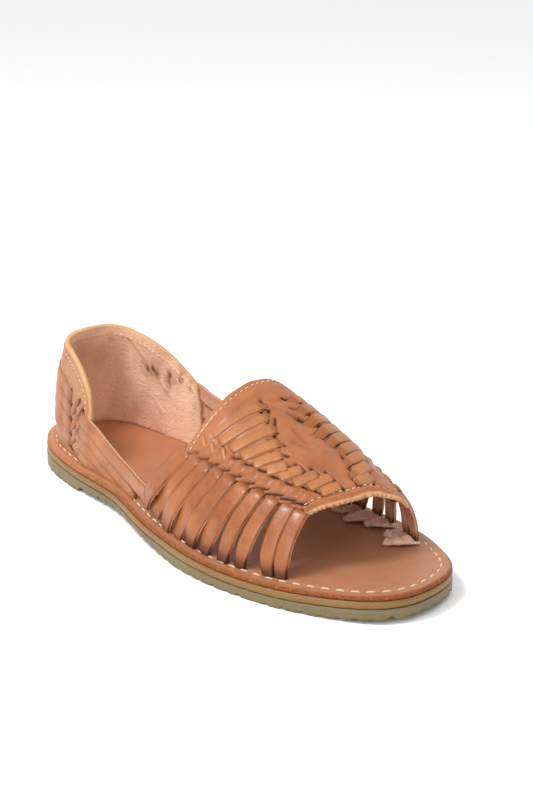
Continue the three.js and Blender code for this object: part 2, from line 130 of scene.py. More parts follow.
# Painted light on the insole's heel: it is lightest behind the second of these stations and at full tone
# ahead of the first
HEEL_PAINTED_LIGHT = (115, 20)
# Pitch of the outsole's cross grooves, and the station from which the forefoot has them
GROOVE_PITCH = 10.8
GROOVES_FROM = 133
# Points round the midsole and the insole, and round the outsole with its fine notches
LAYER_POINTS = 480
OUTSOLE_POINTS = 900
# Stations of the counter's columns of slits; the last is measured from the back
FRONT_COLUMN = SOLE * 0.206
REAR_COLUMN = SOLE * 0.163
BACK_COLUMN = 8.0
# Half the length of its slits, in degrees
SLIT_HALF = 2.6
BAND_WIDTH = 6.6
STRIP_WIDTH = 5.7
# Distances of the lines of stitches from the toe's and the rim's edges
TOE_STITCH = 4.9
RIM_STITCH = 4.2
# Straps before this one, the toe's, show their rough ends on the insole of the inner side
TAILS = 6
# Straps from this one on, the throat's, have a short bit across their strip's outer end
CROSSED = 7
# The panel's dents: station, angle, side, depth and width
DENTS = (
    (150, 86, -1, 1.9, 8), (160, 82, -1, -1.2, 6), (164, 88, 1, 1.3, 6), (174, 84, -1, 1.5, 8),
    (184, 86, -1, -0.8, 6), (190, 84, -1, 1.1, 6),
)
# The panel's creases: both ends of each as station, angle and side
CREASES = (
    ((152, 84, -1), (158, 90, -1)), ((160, 86, -1), (165, 88, 1)), ((168, 80, -1), (176, 82, -1)),
    ((172, 74, -1), (180, 80, -1)), ((163, 90, 1), (168, 84, 1)), ((148, 88, -1), (151, 82, 1)),
)
# The lining's creases as station and height at both ends, and its stains with depth and width
LINING_CREASES = (((14, 46), (44, 12)), ((26, 47), (48, 24)))
LINING_STAINS = ((38, 32, 0.62, 6.0), (53, 31, 0.55, 4.0))


# Shapes


def through(rows, column):
    """A smooth curve through a column: cubic pieces whose slopes are the neighbours' mean slopes."""
    x, y = rows[:, 0], rows[:, column]
    order = np.arange(len(x))
    before, after = np.maximum(order - 1, 0), np.minimum(order + 1, len(x) - 1)
    slope = (y[after] - y[before]) / (x[after] - x[before])

    def at(value):
        t = np.clip(value, x[0], x[-1])
        i = np.clip(np.searchsorted(x, t) - 1, 0, len(x) - 2)
        span = x[i + 1] - x[i]
        u = (t - x[i]) / span
        v = 1 - u
        held = (1 + 2 * u) * v * v * y[i] + u * u * (3 - 2 * u) * y[i + 1]
        return held + u * v * span * (v * slope[i] - u * slope[i + 1])

    return at


def smooth(low, high, value):
    """0 below low, 1 above high, an even S between."""
    t = np.clip((value - low) / (high - low), 0, 1)
    return t * t * (3 - 2 * t)


def mix(a, b, share):
    """A straight blend: a at share 0 and b at share 1."""
    return a + (b - a) * share


def bell(value, width):
    """1 at 0, falling off as a bell of that width."""
    return np.exp(-(value / width) ** 2)


def ripple(points, size, seed, count=5):
    """A repeatable gentle unevenness from -1 to 1: a mean of sine waves in random directions."""
    rng = np.random.default_rng(seed)
    waves = rng.normal(size=(count, 3)) / size
    phase = rng.uniform(0, 6.3, count)
    return np.sin(points @ waves.T * 2.2 + phase).mean(axis=-1) * 1.6


def unit(vectors):
    """Vectors divided by their lengths."""
    return vectors / np.maximum(np.linalg.norm(vectors, axis=-1, keepdims=True), 1e-9)


outer_share, inner_share = through(OUTLINE, 1), through(OUTLINE, 2)
bed_curve = through(BED, 1)
last_height, last_ridge = through(LAST, 1), through(LAST, 2)
lean_of = {-1: through(LAST, 3), 1: through(LAST, 4)}
inset_of = {-1: through(LAST, 5), 1: through(LAST, 6)}
slit_angle = through(STRAPS[::-1][:, [0, 2]], 1)
rim_share = {-1: through(RIM, 1), 1: through(RIM, 2)}


def footbed_top(x):
    """Height of the insole's top, a curve along the sole."""
    return FOOTBED * bed_curve(x / SOLE)


def half_width(side, x):
    """Half width of the footbed on one side at a place along the sole."""
    turn = np.arccos(1 - 2 * np.clip(x / SOLE, 0, 1)) / np.pi
    return BALL * np.where(side < 0, outer_share(turn), inner_share(turn))


def side_half(side, x):
    """Half width of the last at the footbed."""
    inset = np.where(side < 0, inset_of[-1](x / SOLE), inset_of[1](x / SOLE))
    return half_width(side, x) - FOOT_INSET * inset


HEEL_ARC = math.pi / 4 * float(side_half(-1, HEEL_CENTRE) + side_half(1, HEEL_CENTRE))
BACK = HEEL_CENTRE - HEEL_ARC


def on_last(side, station, angle):
    """The last's surface. Ahead of the heel centre a station is a place along the sole and a
    section is a power of the cosine wide and a sine high. Behind it the stations go round an
    ellipse. The angle turns from the footbed (0) to the ridge (90)."""
    side, station, angle = np.broadcast_arrays(*(np.asarray(v, float) for v in (side, station, angle)))
    x = np.maximum(station, HEEL_CENTRE)
    t = x / SOLE
    turned = np.radians(angle)
    up = INSTEP * last_height(t) * np.sin(turned)
    power = np.where(side < 0, lean_of[-1](t), lean_of[1](t))
    lean = np.maximum(np.cos(turned), 0) ** power
    half = side_half(side, x)
    ridge = BALL * last_ridge(t)
    ahead = np.stack([x, ridge + (side * half - ridge) * lean, footbed_top(x) + up], axis=-1)
    turn = math.pi / 2 * (station - BACK) / HEEL_ARC
    length = HEEL_CENTRE - HEEL_INSET
    radius = 1 / np.hypot(np.cos(turn) / length, np.sin(turn) / half)
    rise = np.maximum(up / COUNTER, 0)
    bulge = HEEL_BULGE * np.sin(math.pi * np.minimum(rise, 1)) - HEEL_LEAN * rise ** 2.2
    reach = radius * mix(lean, 1 + bulge / length, np.cos(turn) ** 2)
    px = HEEL_CENTRE - reach * np.cos(turn)
    behind = np.stack([px, side * reach * np.sin(turn), footbed_top(px) + up], axis=-1)
    return np.where((station >= HEEL_CENTRE)[..., None], ahead, behind)


def outward(side, station, angle):
    """The last's outward direction, from small steps along it."""
    step = 0.4
    side, station, angle = np.broadcast_arrays(*(np.asarray(v, float) for v in (side, station, angle)))
    top = np.minimum(angle, 89.0)
    low = np.maximum(top - step, 0)
    along = on_last(side, station + step, top) - on_last(side, station - step, top)
    up = on_last(side, station, np.maximum(top, low) + step) - on_last(side, station, low)
    normal = unit(np.cross(along, up)) * -side[..., None]
    over = unit(np.stack([-along[..., 2], 0 * along[..., 2], along[..., 0]], axis=-1))
    return np.where((angle > 89)[..., None], over, normal)


def angle_at(station, height):
    """Angle on the last at a height above the footbed."""
    t = np.maximum(station, HEEL_CENTRE) / SOLE
    return np.degrees(np.arcsin(np.clip(height / (INSTEP * last_height(t)), -1, 1)))


def toe_edge(side, angle):
    """The toe opening's edge: it swings forward over the crown and stays ahead on the inner side."""
    return np.where(side < 0, mix(TOE_OUTER, TOE_CROWN, smooth(30, 85, angle)),
                    mix(TOE_INNER, TOE_CROWN, smooth(65, 90, angle)))


def ahead(side, slit):
    """How far ahead of its place in the table a strap of the inner side lies."""
    share = (slit - STRAPS[-1, 0]) / (STRAPS[0, 0] - STRAPS[-1, 0])
    return np.where(side < 0, 0.0, SOLE * mix(0.012, 0.036, share))


def from_segments(points, starts, ends):
    """Distance from each point to the nearest of the given straight cuts."""
    nearest = np.full(points.shape[:-1], 1e9)
    for a, b in zip(starts, ends):
        way = b - a
        t = np.clip(((points - a) @ way) / max(way @ way, 1e-9), 0, 1)
        nearest = np.minimum(nearest, np.linalg.norm(points - (a + t[..., None] * way), axis=-1))
    return nearest


def from_place(points, side, station, angle):
    """Distance from each point to one place on the last."""
    return np.linalg.norm(points - on_last(side, station, angle), axis=-1)


def evened(grid):
    """Each inner column moved halfway to the mean of its two neighbours."""
    moved = grid.copy()
    moved[:, 1:-1] += 0.5 * (0.5 * (grid[:, 2:] + grid[:, :-2]) - grid[:, 1:-1])
    return moved


def running_mean(path, reach):
    """A path whose points are the means of their neighbours up to the reach on both sides."""
    weights = np.ones(2 * reach + 1) / (2 * reach + 1)
    return np.stack([np.convolve(np.pad(v, reach, mode="edge"), weights, "valid") for v in path.T], axis=1)


def run_along(path):
    """Distance run along a path up to each of its points."""
    return np.concatenate([[0], np.cumsum(np.linalg.norm(np.diff(path, axis=0), axis=1))])


# Meshes


INNER_SIDE = np.array([0.0, 1.0]).reshape(2, 1, 1)
# In metres: points nearer than the first are merged, and faces thinner than the second dissolved
SAME_POINT = 0.000002
THIN_FACE = 0.000001


class Body:
    """Grids of points gathered into one mesh, with a map and three masks on the points: burn for
    burnt cuts, the lining's stains and painted shade in slits, joins and recesses, pale for raw
    edges, and flesh for a rough inner side, which on the insole carries painted light on its heel."""

    def __init__(self):
        self.points, self.quads, self.maps, self.masks = [], [], [], []
        self.count = 0

    def add(self, points, quads, place, burn_and_shade=0.0, pale=0.0, flesh=0.0):
        """Adds a grid's points, with the map and the masks spread over them."""
        shape = points.shape[:-1]
        self.points.append(points.reshape(-1, 3))
        self.quads.append(quads + self.count)
        self.maps.append(np.broadcast_to(place, (*shape, 2)).reshape(-1, 2))
        masks = [np.broadcast_to(mask, shape).reshape(-1) for mask in (burn_and_shade, pale, flesh)]
        self.masks.append(np.stack(masks, axis=1).astype(float))
        self.count += len(self.points[-1])

    def slab(self, outer, inner, place, burn_and_shade=0.0, pale=0.0, flesh=INNER_SIDE):
        """A closed wall between two grids of the same size; the inner one is the flesh side."""
        rows, columns = outer.shape[:2]
        g = np.arange(rows * columns).reshape(rows, columns)
        h = g + rows * columns
        quads = np.concatenate([
            sheet_quads(g), sheet_quads(h)[:, ::-1],
            np.stack([g[:-1, 0], h[:-1, 0], h[1:, 0], g[1:, 0]], axis=-1),
            np.stack([g[:-1, -1], g[1:, -1], h[1:, -1], h[:-1, -1]], axis=-1),
            np.stack([g[0, :-1], g[0, 1:], h[0, 1:], h[0, :-1]], axis=-1),
            np.stack([g[-1, :-1], h[-1, :-1], h[-1, 1:], g[-1, 1:]], axis=-1),
        ])
        self.add(np.stack([outer, inner]), quads, place, burn_and_shade, pale, flesh)

    def ring(self, grid, place, burn_and_shade=0.0, pale=0.0, flesh=0.0):
        """A surface whose rows close on themselves; its first and last rows close to a pole or seam."""
        rows, columns = grid.shape[:2]
        g = np.arange(rows * columns).reshape(rows, columns)
        g = np.concatenate([g, g[:, :1]], axis=1)
        self.add(grid, sheet_quads(g), place, burn_and_shade, pale, flesh)

    def make(self, name, slot_name, *nodes):
        """Makes the piece in metres with its map and masks, merges doubles and turns its faces out."""
        points = np.concatenate(self.points)
        points = (points - [HEEL_CENTRE, 0, 0]) * MM
        quads = np.concatenate(self.quads)
        mesh = bpy.data.meshes.new(name)
        mesh.from_pydata(points.tolist(), [], quads.tolist())
        run = mesh.uv_layers.new(name="run")
        corner = np.empty(len(mesh.loops), dtype=np.int32)
        mesh.loops.foreach_get("vertex_index", corner)
        run.data.foreach_set("uv", np.concatenate(self.maps)[corner].ravel())
        masks = np.concatenate(self.masks)
        for column, label in enumerate(("burn_and_shade", "pale", "flesh")):
            mesh.attributes.new(label, "FLOAT", "POINT").data.foreach_set("value", masks[:, column])
        tidy = bmesh.new()
        tidy.from_mesh(mesh)
        bmesh.ops.remove_doubles(tidy, verts=tidy.verts, dist=SAME_POINT)
        bmesh.ops.dissolve_degenerate(tidy, edges=tidy.edges, dist=THIN_FACE)
        bmesh.ops.recalc_face_normals(tidy, faces=tidy.faces)
        tidy.to_mesh(mesh)
        tidy.free()
        mesh.polygons.foreach_set("use_smooth", [True] * len(mesh.polygons))
        piece = bpy.data.objects.new(name, mesh)
        bpy.context.scene.collection.objects.link(piece)
        if nodes:
            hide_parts(*nodes)
        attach(piece, "root")
        return piece


def sheet_quads(g):
    """Four corners for each cell of a grid of point numbers."""
    return np.stack([g[:-1, :-1], g[1:, :-1], g[1:, 1:], g[:-1, 1:]], axis=-1).reshape(-1, 4)


def grid_map(rows, columns, length, width):
    """An even map over a grid, from 0 to the length and width."""
    u, v = np.meshgrid(np.linspace(0, length, rows), np.linspace(0, width, columns), indexing="ij")
    return np.stack([u, v], axis=-1)


# Places across a strap as shares of its width, close together at the rounded edges
SECTION = np.array([-0.5, -0.488, -0.455, -0.38, -0.2, 0, 0.2, 0.38, 0.455, 0.488, 0.5])


def down_the_strap(values):
    """One value or one for each row, as a column that spreads over a strap's grid."""
    return np.reshape(values, (-1, 1, 1))


def ribbon(body, side, station, angle, width, inside, thick, crown, lift=0.0, roll=0.0, burn_and_shade=0.0, seed=0):
    """A leather strap along a path on the last: centre line plus width across it, crowned on top by
    a parabola, with its edges rounded and a darker band just inside them, and lifted or rolled off
    the last. The given burn carries burnt cuts and painted shadow where the strap dives under leather."""
    centre = on_last(side, station, angle)
    out = outward(side, station, angle)
    across = np.cross(unit(np.gradient(centre, axis=0)), out)[:, None]
    out = out[:, None]
    v = SECTION[None, :, None]
    wide, lift = down_the_strap(width), down_the_strap(lift)
    rounded = 1 - 0.32 * smooth(0.45, 0.5, np.abs(v))
    bulge = crown * (1 - (2 * v) ** 2)
    flat = centre[:, None] + across * v * wide
    base = inside + lift + roll * v * 2 + ripple(flat, 9.0, seed)[..., None] * 0.16
    top = flat + out * (base + thick * rounded + bulge)
    low = flat + out * (base + thick * (1 - rounded) + 0.5 * bulge)
    run, span = run_along(centre)[:, None], v[..., 0] * wide[..., 0]
    place = np.stack(np.broadcast_arrays(run * 0.1 + seed, span * 0.1), axis=-1)
    from_middle = np.abs(v[..., 0]) + np.zeros((len(station), 1))
    edge = smooth(0.485, 0.5, from_middle)
    scorch_and_shade = np.reshape(burn_and_shade, (-1, 1)) + 0.42 * smooth(0.36, 0.46, from_middle) - 0.42 * edge
    body.slab(top, low, place, scorch_and_shade, 0.65 * edge)


def stitches(body, path, normal, pitch, length, thick):
    """Short threads along a path, each a rod with round ends whose ends dive into the leather."""
    way = run_along(path)
    middles = np.arange(pitch / 2, way[-1], pitch)

    def at(values, where):
        return np.stack([np.interp(where, way, column) for column in values.T], axis=-1)

    centre = at(path, middles)
    forward = unit(at(path, middles + 0.8) - at(path, middles - 0.8))
    up = unit(at(normal, middles))
    across = unit(np.cross(forward, up))
    u = np.linspace(0, 1, 7)
    radius = thick / 2 * np.sqrt(np.maximum(1 - (2 * u - 1) ** 4, 0))
    turn = np.linspace(0, 2 * np.pi, 7)[:-1]
    dive = 1.3 * thick * (2 * u - 1) ** 4
    for k in range(len(middles)):
        line = centre[k] + forward[k] * ((u - 0.5) * length)[:, None] - up[k] * dive[:, None]
        ring = across[k] * np.cos(turn)[:, None] + up[k] * np.sin(turn)[:, None]
        body.ring(line[:, None] + ring[None] * radius[:, None, None], [k * 0.37, 0.0])


# Materials


class Value:
    """A socket whose arithmetic adds Math nodes."""

    def __init__(self, shade, socket):
        self.shade, self.socket = shade, socket

    def _math(self, kind, a, b):
        return self.shade.add("ShaderNodeMath", {"operation": kind}, {0: a, 1: b})

    def __add__(self, other):
        return self._math("ADD", self, other)

    __radd__ = __add__

    def __sub__(self, other):
        return self._math("SUBTRACT", self, other)

    def __rsub__(self, other):
        return self._math("SUBTRACT", other, self)

    def __mul__(self, other):
        return self._math("MULTIPLY", self, other)

    __rmul__ = __mul__

    def clamp(self):
        return self.shade.add("ShaderNodeClamp", {}, {"Value": self})


class Shade:
    """A procedural material round one principled shader."""

    def __init__(self, name, **constants):
        self.material = bpy.data.materials.new(name)
        self.material.use_nodes = True
        self.tree = self.material.node_tree
        self.shader = self.tree.nodes["Principled BSDF"]
        for label, value in constants.items():
            self.shader.inputs[label.replace("_", " ").title().replace("Ior", "IOR")].default_value = value

    def add(self, kind, settings, inputs, output=0):
        node = self.tree.nodes.new(kind)
        for label, value in settings.items():
            setattr(node, label, value)
        for key, value in inputs.items():
            self.feed(node.inputs[key], value)
        return Value(self, node.outputs[output])

    def feed(self, socket, value):
        if isinstance(value, Value):
            self.tree.links.new(value.socket, socket)
        else:
            socket.default_value = value

    def put(self, label, value):
        self.feed(self.shader.inputs[label], value)

    def attribute(self, name):
        return self.add("ShaderNodeAttribute", {"attribute_name": name}, {}, "Fac")

    def where(self, stretch=(1, 1, 1)):
        source = self.add("ShaderNodeTexCoord", {}, {}, "Object")
        return self.add("ShaderNodeMapping", {}, {"Vector": source, "Scale": stretch})

    def noise(self, where, scale, detail=3.0, rough=0.55, low=0.3, high=0.7):
        inputs = {"Vector": where, "Scale": scale, "Detail": detail, "Roughness": rough}
        raw = self.add("ShaderNodeTexNoise", {}, inputs)
        return self.add("ShaderNodeMapRange", {}, {"Value": raw, "From Min": low, "From Max": high})

    def blend(self, a, b, share):
        return self.add("ShaderNodeMix", {"data_type": "RGBA"}, {0: share, 6: a, 7: b}, 2)

    def bump(self, height, distance, strength=1.0, under=None):
        inputs = {"Height": height, "Distance": distance, "Strength": strength}
        if under is not None:
            inputs["Normal"] = under
        return self.add("ShaderNodeBump", {}, inputs)


def rgba(colour, *factors):
    """A colour for a socket, its channels scaled by one factor or by three and held at 1."""
    return (*np.minimum(np.multiply(tuple(colour), factors or (1.0,)), 1.0), 1.0)


def leather(name, colour, looks, deep, light, gloss, streak=(1, 1, 1), flesh=None):
    """Tanned leather: blotches and fine mottling between a deep and a light tone, given by their
    factors, burnt cuts and the burn mask's painted shadow in slits, where straps dive and on the
    lining, pale fibrous raw edges, a rough flesh side, grain and creases in the bump and a waxed gloss."""
    s = Shade(name, specular_ior_level=0.36, coat_roughness=0.24)
    at = s.where()
    blotch = s.noise(at, 42.0, 4.0, 0.6, 0.32, 0.68)
    mottle = s.noise(at, 190.0, 3.0, 0.6)
    crease = s.noise(s.where(streak), 95.0, 5.0, 0.7, 0.35, 0.65)
    patches = s.noise(at, 75.0, 5.0, 0.65, 0.56, 0.80)
    grain = s.noise(at, 2600.0, 2.0, 0.5, 0.2, 0.8)
    fuzz = s.noise(at, 900.0, 4.0, 0.7)
    pores = s.add("ShaderNodeTexVoronoi", {"feature": "F1"}, {"Vector": at, "Scale": 1500.0})
    burn_and_shade, pale, inner = (s.attribute(label) for label in ("burn_and_shade", "pale", "flesh"))
    deep = rgba(colour, *deep)[:3]
    flesh = looks.flesh_colour if flesh is None else flesh
    base = s.blend(rgba(deep), rgba(colour), blotch)
    base = s.blend(base, rgba(colour, *light), mottle * 0.3 + crease * 0.3)
    base = s.blend(base, rgba(deep, 0.62), patches * 0.55)
    base = s.blend(base, s.blend(rgba(flesh), rgba(flesh, 0.62), fuzz * 0.55 + blotch * 0.25), inner)
    base = s.blend(base, rgba(looks.raw_colour), (pale * (0.7 + fuzz * 0.5)).clamp())
    # The burn mask gives the burnt colour and, where strongest, near black: partly burnt cuts, partly painted
    # shadow in slits, under the panel, where straps dive and on the lining
    base = s.blend(base, rgba(looks.scorch_and_shade_colour), (burn_and_shade * (0.85 + mottle * 0.3)).clamp())
    base = s.blend(base, rgba(looks.scorch_and_shade_colour, 0.16), ((burn_and_shade - 0.6) * 2.2).clamp())
    s.put("Base Color", base)
    rough = 0.62 - gloss * 0.30 + mottle * 0.12 + inner * (0.2 + gloss * 0.2) + pale * 0.25 + burn_and_shade * 0.15
    s.put("Roughness", rough.clamp())
    s.put("Coat Weight", ((1 - inner) * (1 - pale) * (1 - burn_and_shade) * (0.05 + gloss * 0.42)).clamp())
    fine = s.bump(grain * 0.5 + pores * 0.5, 0.00012, 0.35)
    s.put("Normal", s.bump(crease + fuzz * inner * 0.5, 0.0006, 0.6, fine))
    return s.material


def thread(looks):
    """Waxed thread, its twist a fine noise."""
    s = Shade("waxed thread", specular_ior_level=0.4)
    twist = s.noise(s.where(), 1800.0, 2.0)
    s.put("Base Color", s.blend(rgba(looks.thread_colour), rgba(looks.thread_colour, 0.66), twist * 0.6))
    s.put("Roughness", 0.55 + twist * 0.2)
    s.put("Normal", s.bump(twist, 0.0001, 0.5))
    return s.material


def insole_leather(looks):
    """Insole leather: blotches, scuffs drawn out lengthwise, a fibrous cut edge with painted shade under it,
    and painted light on the heel.
    """
    s = Shade("insole leather", specular_ior_level=0.4, coat_roughness=0.35)
    at = s.where()
    blotch = s.noise(at, 22.0, 4.0, 0.6)
    mottle = s.noise(at, 160.0, 4.0, 0.65)
    fuzz = s.noise(at, 1100.0, 4.0, 0.7)
    fibres = s.noise(at, 420.0, 3.0, 0.7, 0.52, 0.75)
    grain = s.noise(at, 2200.0, 2.0, 0.5, 0.2, 0.8)
    scuff = s.noise(s.where((1, 4, 1)), 60.0, 5.0, 0.7, 0.58, 0.80)
    edge, burn_and_shade, heel = (s.attribute(label) for label in ("pale", "burn_and_shade", "flesh"))
    tone, edge_tone = looks.insole_colour, looks.edge_colour
    rim = s.blend(rgba(edge_tone), rgba(edge_tone, 0.4), fuzz)
    rim = s.blend(rim, rgba(edge_tone, 1.7), fibres * 0.7)
    base = s.blend(rgba(tone, 0.80), rgba(tone), blotch)
    base = s.blend(base, rgba(tone, 1.22), mottle * 0.45)
    base = s.blend(base, rgba(tone, 0.55), (scuff * 0.45).clamp())
    base = s.blend(base, rim, edge)
    # Painted shade under the insole's edge, from the burn mask
    base = s.blend(base, rgba(looks.scorch_and_shade_colour), (burn_and_shade * (0.7 + mottle * 0.3)).clamp())
    # Painted light on the heel, from the flesh mask
    base = s.blend(base, rgba(tone, 1.5), heel * 0.6)
    s.put("Base Color", base)
    s.put("Roughness", (0.5 + mottle * 0.12 + edge * 0.25).clamp())
    s.put("Coat Weight", ((1 - edge) * 0.18).clamp())
    fine = s.bump(grain, 0.00010, 0.3)
    s.put("Normal", s.bump(fuzz * (0.25 + edge * 3.2) + mottle * 0.3, 0.0005, 0.6, fine))
    return s.material


def rubber(name, colour, deep, rough, cloud):
    """Sole rubber: a slightly see-through sheet shown by a soft, cloudy change to a deeper tone."""
    s = Shade(name, specular_ior_level=0.5, subsurface_weight=0.08, subsurface_scale=0.004)
    at = s.where()
    haze = s.noise(at, 28.0, 3.0, 0.5)
    specks = s.noise(at, 1300.0, 3.0, 0.7, 0.35, 0.75)
    marks = s.noise(s.where((1, 1, 5)), 140.0, 4.0, 0.65)
    deep = rgba(colour, *deep)[:3]
    base = s.blend(rgba(colour), rgba(deep), haze * cloud)
    base = s.blend(base, rgba(deep, 0.55), specks * 0.3)
    # Painted shade where the burn mask is set: at the joins between layers, in the notches and in the grooves
    base = s.blend(base, rgba(deep, 0.35), (s.attribute("burn_and_shade") * (0.6 + marks * 0.5)).clamp())
    s.put("Base Color", base)
    s.put("Roughness", (marks * 0.15 + rough).clamp())
    s.put("Normal", s.bump(marks * 0.6 + specks * 0.5, 0.0003, 0.5))
    return s.material


def wear(piece, material):
    """Gives a piece its one material."""
    piece.data.materials.clear()
    piece.data.materials.append(material)


# Settings


def size_property(label, words, millimetres):
    return bpy.props.FloatProperty(
        name=label, description=words, default=millimetres * MM, min=0.0, unit="LENGTH", precision=5)


def colour_property(label, words, colour):
    return bpy.props.FloatVectorProperty(
        name=label, description=words, default=colour, size=3, min=0.0, max=1.0, subtype="COLOR")


class SandalSizes(bpy.types.PropertyGroup):
    strap_thick: size_property("Strap thickness", "Thickness of the woven straps", 1.9)
    strap_crown: size_property("Strap crown", "How much a strap bulges in the middle of its width", 0.35)
    panel_thick: size_property("Panel thickness", "Thickness of the vamp panel", 2.0)
    border_stitch: size_property("Border stitch line", "Distance of the throat's stitches from its edge", 2.7)
    sole_stitch: size_property("Sole stitch line", "Distance of the sole's stitches from its edge", 4.4)
    stitch_pitch: size_property("Sole stitch pitch", "Length of the sole's stitches with their gaps", 6.2)
    fine_pitch: size_property("Upper stitch pitch", "Length of the upper's stitches with their gaps", 3.1)
    thread_thick: size_property("Thread thickness", "Diameter of the sewing thread", 0.8)


class SandalLooks(bpy.types.PropertyGroup):
    panel_colour: colour_property("Panel", "Leather of the vamp panel", (0.325, 0.106, 0.029))
    strap_colour: colour_property("Straps", "Leather of the straps", (0.275, 0.075, 0.012))
    counter_colour: colour_property("Counter", "Leather of the heel counter", (0.355, 0.155, 0.070))
    lining_colour: colour_property("Lining", "Smooth inner side of the counter", (0.98, 0.62, 0.43))
    flesh_colour: colour_property("Flesh side", "Rough inner side of the leather", (0.60, 0.30, 0.19))
    tail_colour: colour_property("Strap ends", "Rough strap ends on the insole", (0.82, 0.52, 0.40))
    raw_colour: colour_property("Raw edge", "Cut edges of the leather", (0.60, 0.34, 0.17))
    # Colour of burnt cuts, also used as painted shadow in slits, under the panel's edge, where straps dive,
    # on the lining and under the insole's edge
    scorch_and_shade_colour: colour_property("Burnt cuts", "Dark leather at slits and strap feet", (0.19, 0.048, 0.007))
    insole_colour: colour_property("Insole", "Top of the insole", (0.375, 0.152, 0.070))
    edge_colour: colour_property("Insole edge", "Fibrous cut edge of the insole", (0.40, 0.105, 0.020))
    midsole_colour: colour_property("Midsole", "Ochre layer of the sole", (0.24, 0.136, 0.032))
    outsole_colour: colour_property("Outsole", "Grey-green layer of the sole", (0.195, 0.145, 0.062))
    thread_colour: colour_property("Thread", "Cream sewing thread", (0.70, 0.55, 0.36))
    floor_colour: colour_property("Floor", "Pale studio floor", (0.93, 0.93, 0.93))


def sizes():
    return bpy.context.scene.sandal_sizes


def looks():
    return bpy.context.scene.sandal_looks


# The sole


def outline(count, proud):
    """Points round the footbed's outline, moved outwards along its normals."""
    whole = 2 * np.arange(count) / count
    side = np.where(whole <= 1, -1, 1)
    turn = np.where(whole <= 1, whole, 2 - whole)
    x = SOLE * (1 - np.cos(np.pi * turn)) / 2
    half = np.where(side < 0, outer_share(turn), inner_share(turn))
    ring = np.stack([x, side * half * BALL], axis=-1)
    along = unit(np.roll(ring, -1, axis=0) - np.roll(ring, 1, axis=0))
    return ring + np.stack([along[:, 1], -along[:, 0]], axis=-1) * proud


def underside(x):
    """Underside of the sole: flat heel, its step, the arch, flat forefoot and toe spring."""
    t = x / SOLE
    back = 0.8 * (1 - smooth(0, 12, x))
    step = 1.7 * smooth(HEEL_BREAST, HEEL_BREAST + 1.5, x)
    arch = 1.7 * smooth(0.25, 0.40, t)
    fall = 1 - smooth(0.44, 0.62, t)
    return back + (step + arch) * fall + 2.4 * np.maximum(0, (t - 0.82) / 0.18) ** 2


# Each surface under the footbed lies its layer's thickness or the gap below the one above


def insole_under(x):
    return footbed_top(x) - INSOLE


def midsole_top(x):
    return insole_under(x) - LAYER_GAP


def midsole_under(x):
    return midsole_top(x) - MIDSOLE


def outsole_top(x):
    return midsole_under(x) - LAYER_GAP


def sole_layer(name, slot_name, node, count, rows):
    """A closed layer from rows of (distance in from the outline, share of the width kept, height,
    burn, pale), each row a ring round the outline drawn in towards the middle line. A row of no
    width lies at the mean of its two sides' places, so that its seam closes."""
    rings, burn_and_shade_rows, pales = [], [], []
    for inward, share, height, burn_and_shade, pale in rows:
        x, y = outline(count, -inward).T * [[1], [share]]
        if share == 0:
            x = (x + np.roll(x[::-1], 1)) / 2
        rings.append(np.stack([x, y, height(x, y)], axis=-1))
        burn_and_shade_rows.append(burn_and_shade + np.zeros(count))
        pales.append(pale + np.zeros(count))
    body = Body()
    grid = np.stack(rings)
    # The burn rows are painted shade at joins and recesses; the flesh mask is the insole's painted light on
    # its heel
    body.ring(grid, [0.0, 0.0], np.stack(burn_and_shade_rows), np.stack(pales), smooth(*HEEL_PAINTED_LIGHT, grid[..., 0]))
    return body.make(name, slot_name, node)


class SandalOutsole(bpy.types.Operator):
    """Makes the grey-green outsole with its notched lower edge and cross grooves"""

    bl_idname = "sandal.outsole"
    bl_label = "Outsole"

    def execute(self, context):
        rng = np.random.default_rng(4)
        count = OUTSOLE_POINTS
        way = run_along(outline(count, 0))
        notch = np.zeros(count)
        for place in np.arange(0, way[-1], 7.3):
            at = place + rng.uniform(-2, 2)
            notch = np.maximum(notch, rng.uniform(0.35, 1.0) * bell(way - at, rng.uniform(0.7, 1.5)))

        def bottom(depth):
            return lambda x, y: underside(x) + depth * notch

        def between(share):
            return lambda x, y: mix(outsole_top(x), underside(x), share) + 0.08 * np.sin(x * 0.9)

        def groove(x, y):
            from_edge = np.where(y < 0, half_width(-1, x), half_width(1, x)) - np.abs(y)
            flat = (x < HEEL_BREAST - 4) | (x > GROOVES_FROM)
            place = x % GROOVE_PITCH - GROOVE_PITCH / 2
            return underside(x) + bell(place, 1.1) * smooth(15, 11, from_edge) * flat

        # The fourth column is painted shade: at the join under the midsole, in the notches and in the grooves
        rows = [(0, s, lambda x, y: outsole_top(x), 0, 0) for s in (0.0, 0.5, 0.9)]
        rows += [
            (-0.3, 1, between(0.0), 0.15, 0), (-0.5, 1, between(0.12), 0, 0), (-0.45, 1, between(0.4), 0, 0),
            (-0.4, 1, between(0.7), 0, 0), (-0.45, 1, bottom(1.9), 0.25 * notch, 0),
            (-0.1, 1, bottom(1.2), 0.7 * notch, 0), (0.5, 1, bottom(1.2), 0.8 * notch, 0),
            (3.5, 1, groove, 0.2, 0),
        ]
        rows += [(3.5, s, groove, 0.2, 0) for s in (0.92, 0.84, 0.74, 0.6, 0.3, 0.0)]
        piece = sole_layer("outsole_rubber", "outsole_rubber", "outsole", count, rows)
        wear(piece, rubber("grey-green rubber", looks().outsole_colour, deep=(0.72,), rough=0.42, cloud=0.7))
        return {"FINISHED"}


